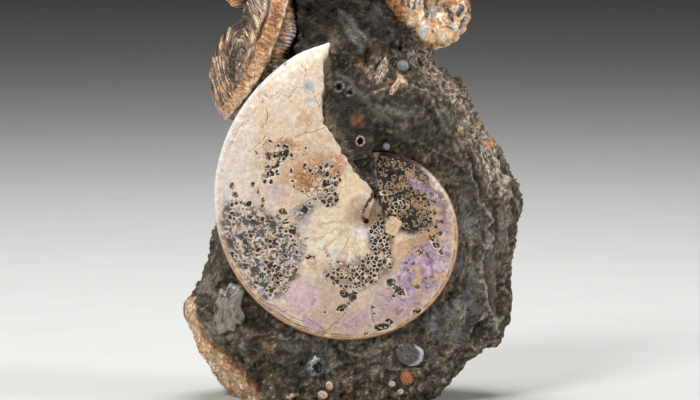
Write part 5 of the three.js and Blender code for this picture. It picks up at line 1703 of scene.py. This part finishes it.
def clam(base, edge, seed, bowl, ragged=0.12):
    """A valve with growth lines round its beak. The bowl sinks its middle and brings a painted highlight, a
    bright crescent on its right side, and a ragged one has lost flakes of its edge."""
    def form(share, angle):
        outline = 1 - 0.35 * ragged + wavy(share * 0 + 1, angle, seed, 1.3 * ragged)
        x, y = share * np.cos(angle), share * np.sin(angle)
        from_beak = np.hypot(x, y - 0.9)
        lines = np.sin(from_beak * 34 + 4 * wavy(share, angle, seed + 1, 1.0))
        height = dome_height(share, 2.4) * (0.9 - bowl * smooth(0.75, 0.2, share)) + 0.03 * lines
        tint = coloured(share, base)
        tint = paint_grid(tint, edge, smooth(-0.1, 0.7, lines + 6 * wavy(share, angle, seed + 2, 0.6)) * 0.5)
        worn = wavy(share, angle, seed + 4, 1.0, 0.5)
        tint = paint_grid(tint, (172, 158, 140),
                          smooth(0.05, 0.3, worn) * smooth(0.1, 0.5, ragged + 0 * share))
        tint = paint_grid(tint, (46, 40, 35),
                          smooth(0.1, 0.3, wavy(share, angle, seed + 3, 0.8 + ragged, 0.7)) * 0.75)
        height = height + 0.8 * ragged * worn * smooth(1.0, 0.8, share)
        # Painted highlight: a bright crescent on the right side of a bowled valve
        crescent = bump(np.hypot(x + 0.25, y), 0.98, 0.14) * smooth(0.0, 0.5, x) * bowl
        return outline, height + 0.12 * crescent, paint_grid(tint, (236, 238, 240), 1.4 * crescent)
    return form


def snail(base, seed):
    """A little whorled shell."""
    def form(share, angle):
        outline = 0.92 + wavy(share * 0 + 1, angle, seed, 0.1)
        groove = np.cos(angle - TURN * 1.6 * share ** 0.7)
        height = dome_height(share) * (0.86 + 0.14 * smooth(-0.9, 0.2, groove))
        tint = coloured(share, base)
        tint = paint_grid(tint, (128, 92, 64), smooth(-0.5, -0.95, groove) * 0.8)
        tint = paint_grid(tint, (246, 230, 214), smooth(0.0, 0.3, wavy(share, angle, seed + 1, 0.6)) * 0.5)
        return outline, height, paint_grid(tint, (70, 54, 42), smooth(0.8, 1.0, share) * 0.8)
    return form


def hollow(share, angle):
    """A broken shell seen into: smoky layers that curl round a dark hollow, with painted glints along their
    edges.
    """
    outline = 0.86 + wavy(share * 0 + 1, angle, 5, 0.34)
    x, y = share * np.cos(angle), share * np.sin(angle)
    far = np.hypot(x - 0.28, y + 0.18) + wavy(share, angle, 6, 0.4, 0.9)
    curl = np.arctan2(y + 0.18, x - 0.28)
    height = 0.35 + 0.5 * bump(far, 0.72, 0.2) + 0.25 * bump(far, 1.1, 0.16) - 0.5 * smooth(0.5, 0.15, far)
    height = height * smooth(1.0, 0.86, share)
    tint = coloured(share, (66, 62, 60))
    tint = painted(tint, [
        ((94, 94, 96), smooth(0.0, 0.3, wavy(share, angle, 11, 1.0, 0.8))),
        ((112, 113, 116), bump(far, 0.74, 0.14) * smooth(-0.3, 0.4, np.cos(curl - 2.6))),
        # Painted glints along the edges of the layers
        ((240, 242, 244), bump(far, 0.6, 0.07) * smooth(0.6, 0.95, np.cos(curl - 2.3))),
        ((236, 238, 240), bump(far, 0.95, 0.06) * smooth(0.75, 0.95, np.cos(curl - 1.7))),
        ((236, 238, 240), bump(far, 0.4, 0.05) * smooth(0.8, 0.95, np.cos(curl + 0.4))),
        ((15, 13, 12), smooth(0.5, 0.3, far)),
    ], paint_grid)
    return outline, height, tint


def pearl(base, seed, pinch=0.0):
    """A smooth blob, narrower at its top by the pinch."""
    def form(share, angle):
        outline = 0.94 - pinch * smooth(0, 1, np.sin(angle)) + wavy(share * 0 + 1, angle, seed, 0.05)
        tint = coloured(share, base)
        # A painted highlight up and to the left of the middle
        tint = paint_grid(tint, (206, 208, 210), smooth(0.5, 0, np.hypot(share * np.cos(angle) + 0.2,
                                                                        share * np.sin(angle) - 0.3)) * 0.5)
        tint = paint_grid(tint, (60, 58, 58), smooth(0.75, 1.0, share) * 0.7)
        return outline, dome_height(share, 2.6) * 0.95, tint
    return form


def tube(share, angle):
    """The open end of a worm's tube, with a thin chipped rim."""
    outline = 0.9 + wavy(share * 0 + 1, angle, 7, 0.2)
    far = share + wavy(share, angle, 12, 0.3, 0.6)
    height = 0.2 + 0.75 * bump(far, 0.72, 0.14) - 0.55 * smooth(0.55, 0.2, far)
    tint = coloured(share, (84, 74, 64))
    tint = painted(tint, [
        ((216, 196, 176), bump(far, 0.72, 0.13)),
        ((96, 76, 60), smooth(0.1, 0.3, wavy(share, angle, 8, 1.0, 0.5)) * 0.8),
        ((16, 14, 13), smooth(0.6, 0.5, far)),
    ], paint_grid)
    return outline, height * smooth(1.0, 0.9, share), tint


def fragment(colours, seed):
    """A ragged splinter of shell in speckled layers."""
    def form(share, angle):
        outline = 0.86 + wavy(share * 0 + 1, angle, seed, 0.34, 0.6)
        rough = wavy(share, angle, seed + 1, 1.0, 0.5)
        height = dome_height(share, 3) * (0.72 + 0.3 * rough)
        tint = coloured(share, colours[0])
        tint = paint_grid(tint, colours[1], smooth(0.02, 0.2, rough))
        tint = paint_grid(tint, colours[2], smooth(0.05, 0.3, -rough))
        return outline, height, tint
    return form


def rusty(share, angle):
    outline = 0.93 + wavy(share * 0 + 1, angle, 9, 0.14)
    rough = wavy(share, angle, 10, 1.0, 0.4)
    tint = paint_grid(coloured(share, (170, 106, 58)), (216, 150, 94), smooth(0.0, 0.3, rough))
    tint = paint_grid(tint, (96, 60, 36), smooth(0.05, 0.35, -rough))
    return outline, dome_height(share, 2.6) * (0.85 + 0.2 * rough), tint


# Size, turn and kind of each small shell: x and z, wide, tall, rise, turn
SMALL_SHELLS = {
    "clam_left": (-74.5, 65, 24, 40, 4.5, 12), "clam_right": (47, 33.5, 23, 18, 3.5, 20),
    "rust_shell": (45.3, 17.5, 10, 10, 2.5, 10), "snail_1": (-7, 13.5, 6, 8, 3, -12),
    "snail_2": (-11.5, 7.5, 8, 6.5, 3, 30), "snail_3": (35, 13.5, 6, 5, 2.5, 0),
    "snail_4": (41, 8, 5, 5, 2.5, 0), "hollow_shell": (-16.5, 26, 18, 17, 4, -20),
    "pearly_drop": (31, 176.5, 6, 9, 2.5, -8), "pearly_disc": (42, 228.5, 10, 9, 2, 30),
    "shell_fragment_1": (27.5, 225, 8, 24, 3, 18), "shell_fragment_2": (36, 214.5, 5, 20, 2, 35),
    "worm_tube": (13.7, 180.5, 8, 9, 3.5, 0),
}
SMALL_FORMS = {
    "clam_left": (clam((134, 126, 114), (152, 148, 140), 20, 0.0, 0.4), "shell_grey"),
    "clam_right": (clam((78, 76, 74), (122, 120, 117), 24, 0.5, 0.2), "shell_grey"),
    "rust_shell": (rusty, "shell_rust"), "snail_1": (snail((222, 188, 156), 30), "shell_tan"),
    "snail_2": (snail((226, 196, 168), 33), "shell_tan"),
    "snail_3": (snail((214, 200, 186), 36), "shell_tan"),
    "snail_4": (snail((206, 196, 186), 39), "shell_tan"), "hollow_shell": (hollow, "shell_grey"),
    "pearly_drop": (pearl((150, 156, 160), 42, 0.25), "shell_grey"),
    "pearly_disc": (pearl((128, 136, 142), 45), "shell_grey"),
    "shell_fragment_1": (fragment([(150, 126, 104), (228, 212, 196), (54, 44, 36)], 48), "shell_tan"),
    "shell_fragment_2": (fragment([(206, 160, 118), (244, 226, 206), (110, 74, 48)], 52), "shell_tan"),
    "worm_tube": (tube, "shell_tan"),
}


def small_place(name, x, z, wide, tall, rise, turn):
    """Where a small shell lies: as its solid, in the middle of its node and tipped to follow the display
    face."""
    depth = box_of(name)[0][1], box_of(name)[1][1]
    step = 4
    at = np.array([[x + step, x - step, x, x], [z, z, z + step, z - step]], float)
    depths = face_depth(at[0], at[1])
    tip_x = math.atan(-(depths[2] - depths[3]) / (2 * step))
    tip_z = math.atan((depths[0] - depths[1]) / (2 * step))
    rotation = (math.degrees(tip_x), turn, math.degrees(tip_z))
    position = (x, sum(depth) / 2, z)
    return {"wide": wide, "tall": tall, "rise": rise, "position": position, "rotation": rotation}


SMALL_PLACES = {name: small_place(name, *values) for name, values in SMALL_SHELLS.items()}


# Stage

def make_floor():
    reach = 14
    mesh = bpy.data.meshes.new("floor")
    mesh.from_pydata([(-reach, -reach, 0), (reach, -reach, 0), (reach, reach, 0), (-reach, reach, 0)], [],
                     [(0, 1, 2, 3)])
    floor = bpy.data.objects.new("floor", mesh)
    bpy.context.scene.collection.objects.link(floor)
    look = Look("pale_floor", Specular_IOR_Level=0.15)
    shade = look.step(look.noise(60, 3), 0.3, 0.7, 0.985, 1.015)
    floor.data.materials.append(look.finish(look.shade(linear((208, 208, 206)), shade), 0.7))


def make_light(name, place, target, size, power):
    data = bpy.data.lights.new(name, "AREA")
    data.shape, data.size, data.size_y = "RECTANGLE", size[0], size[1]
    data.energy = power
    light = bpy.data.objects.new(name, data)
    bpy.context.scene.collection.objects.link(light)
    light.location = place
    light.rotation_euler = (Vector(target) - Vector(place)).to_track_quat("-Z", "Y").to_euler()


def make_lights():
    middle = (0, 0, 0.15)
    make_light("overhead", (-0.05, 0.4, 1.8), (-0.05, 0.4, 0), (1.1, 1.1), 31)
    make_light("key", (-1.15, -1.6, 1.95), middle, (0.8, 0.8), 39)
    make_light("left_strip", (-2.0, -0.3, 0.9), middle, (0.5, 1.2), 8)
    make_light("right_strip", (2.1, -0.5, 1.1), middle, (0.5, 1.2), 26)
    world = bpy.data.worlds.new("world")
    bpy.context.scene.world = world
    world.use_nodes = True
    world.node_tree.nodes["Background"].inputs[0].default_value = (0.5, 0.5, 0.5, 1)
    world.node_tree.nodes["Background"].inputs[1].default_value = 0.08


def dress(piece, node, look):
    piece.data.materials.append(look)
    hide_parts(node)
    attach(piece, "root")


make_floor()
make_lights()
bpy.context.scene.view_settings.view_transform = "Standard"
dress(stone(), "stone", stone_look())
dress(large_ammonite(), "large_ammonite", nacre_look())
dress(left_hooked(), "hooked_ammonite_left", ribbed_look())
dress(right_hooked(), "hooked_ammonite_right", golden_look())
small_looks = {
    "shell_grey": small_shell_look("grey_shell", 0.5, 0.3),
    "shell_tan": small_shell_look("tan_shell", 0.2, 0.5),
    "shell_rust": small_shell_look("rust_shell", 0.0, 0.7),
}
for name, (form, slot) in SMALL_FORMS.items():
    dress(dome(name, form), name, small_looks[slot])
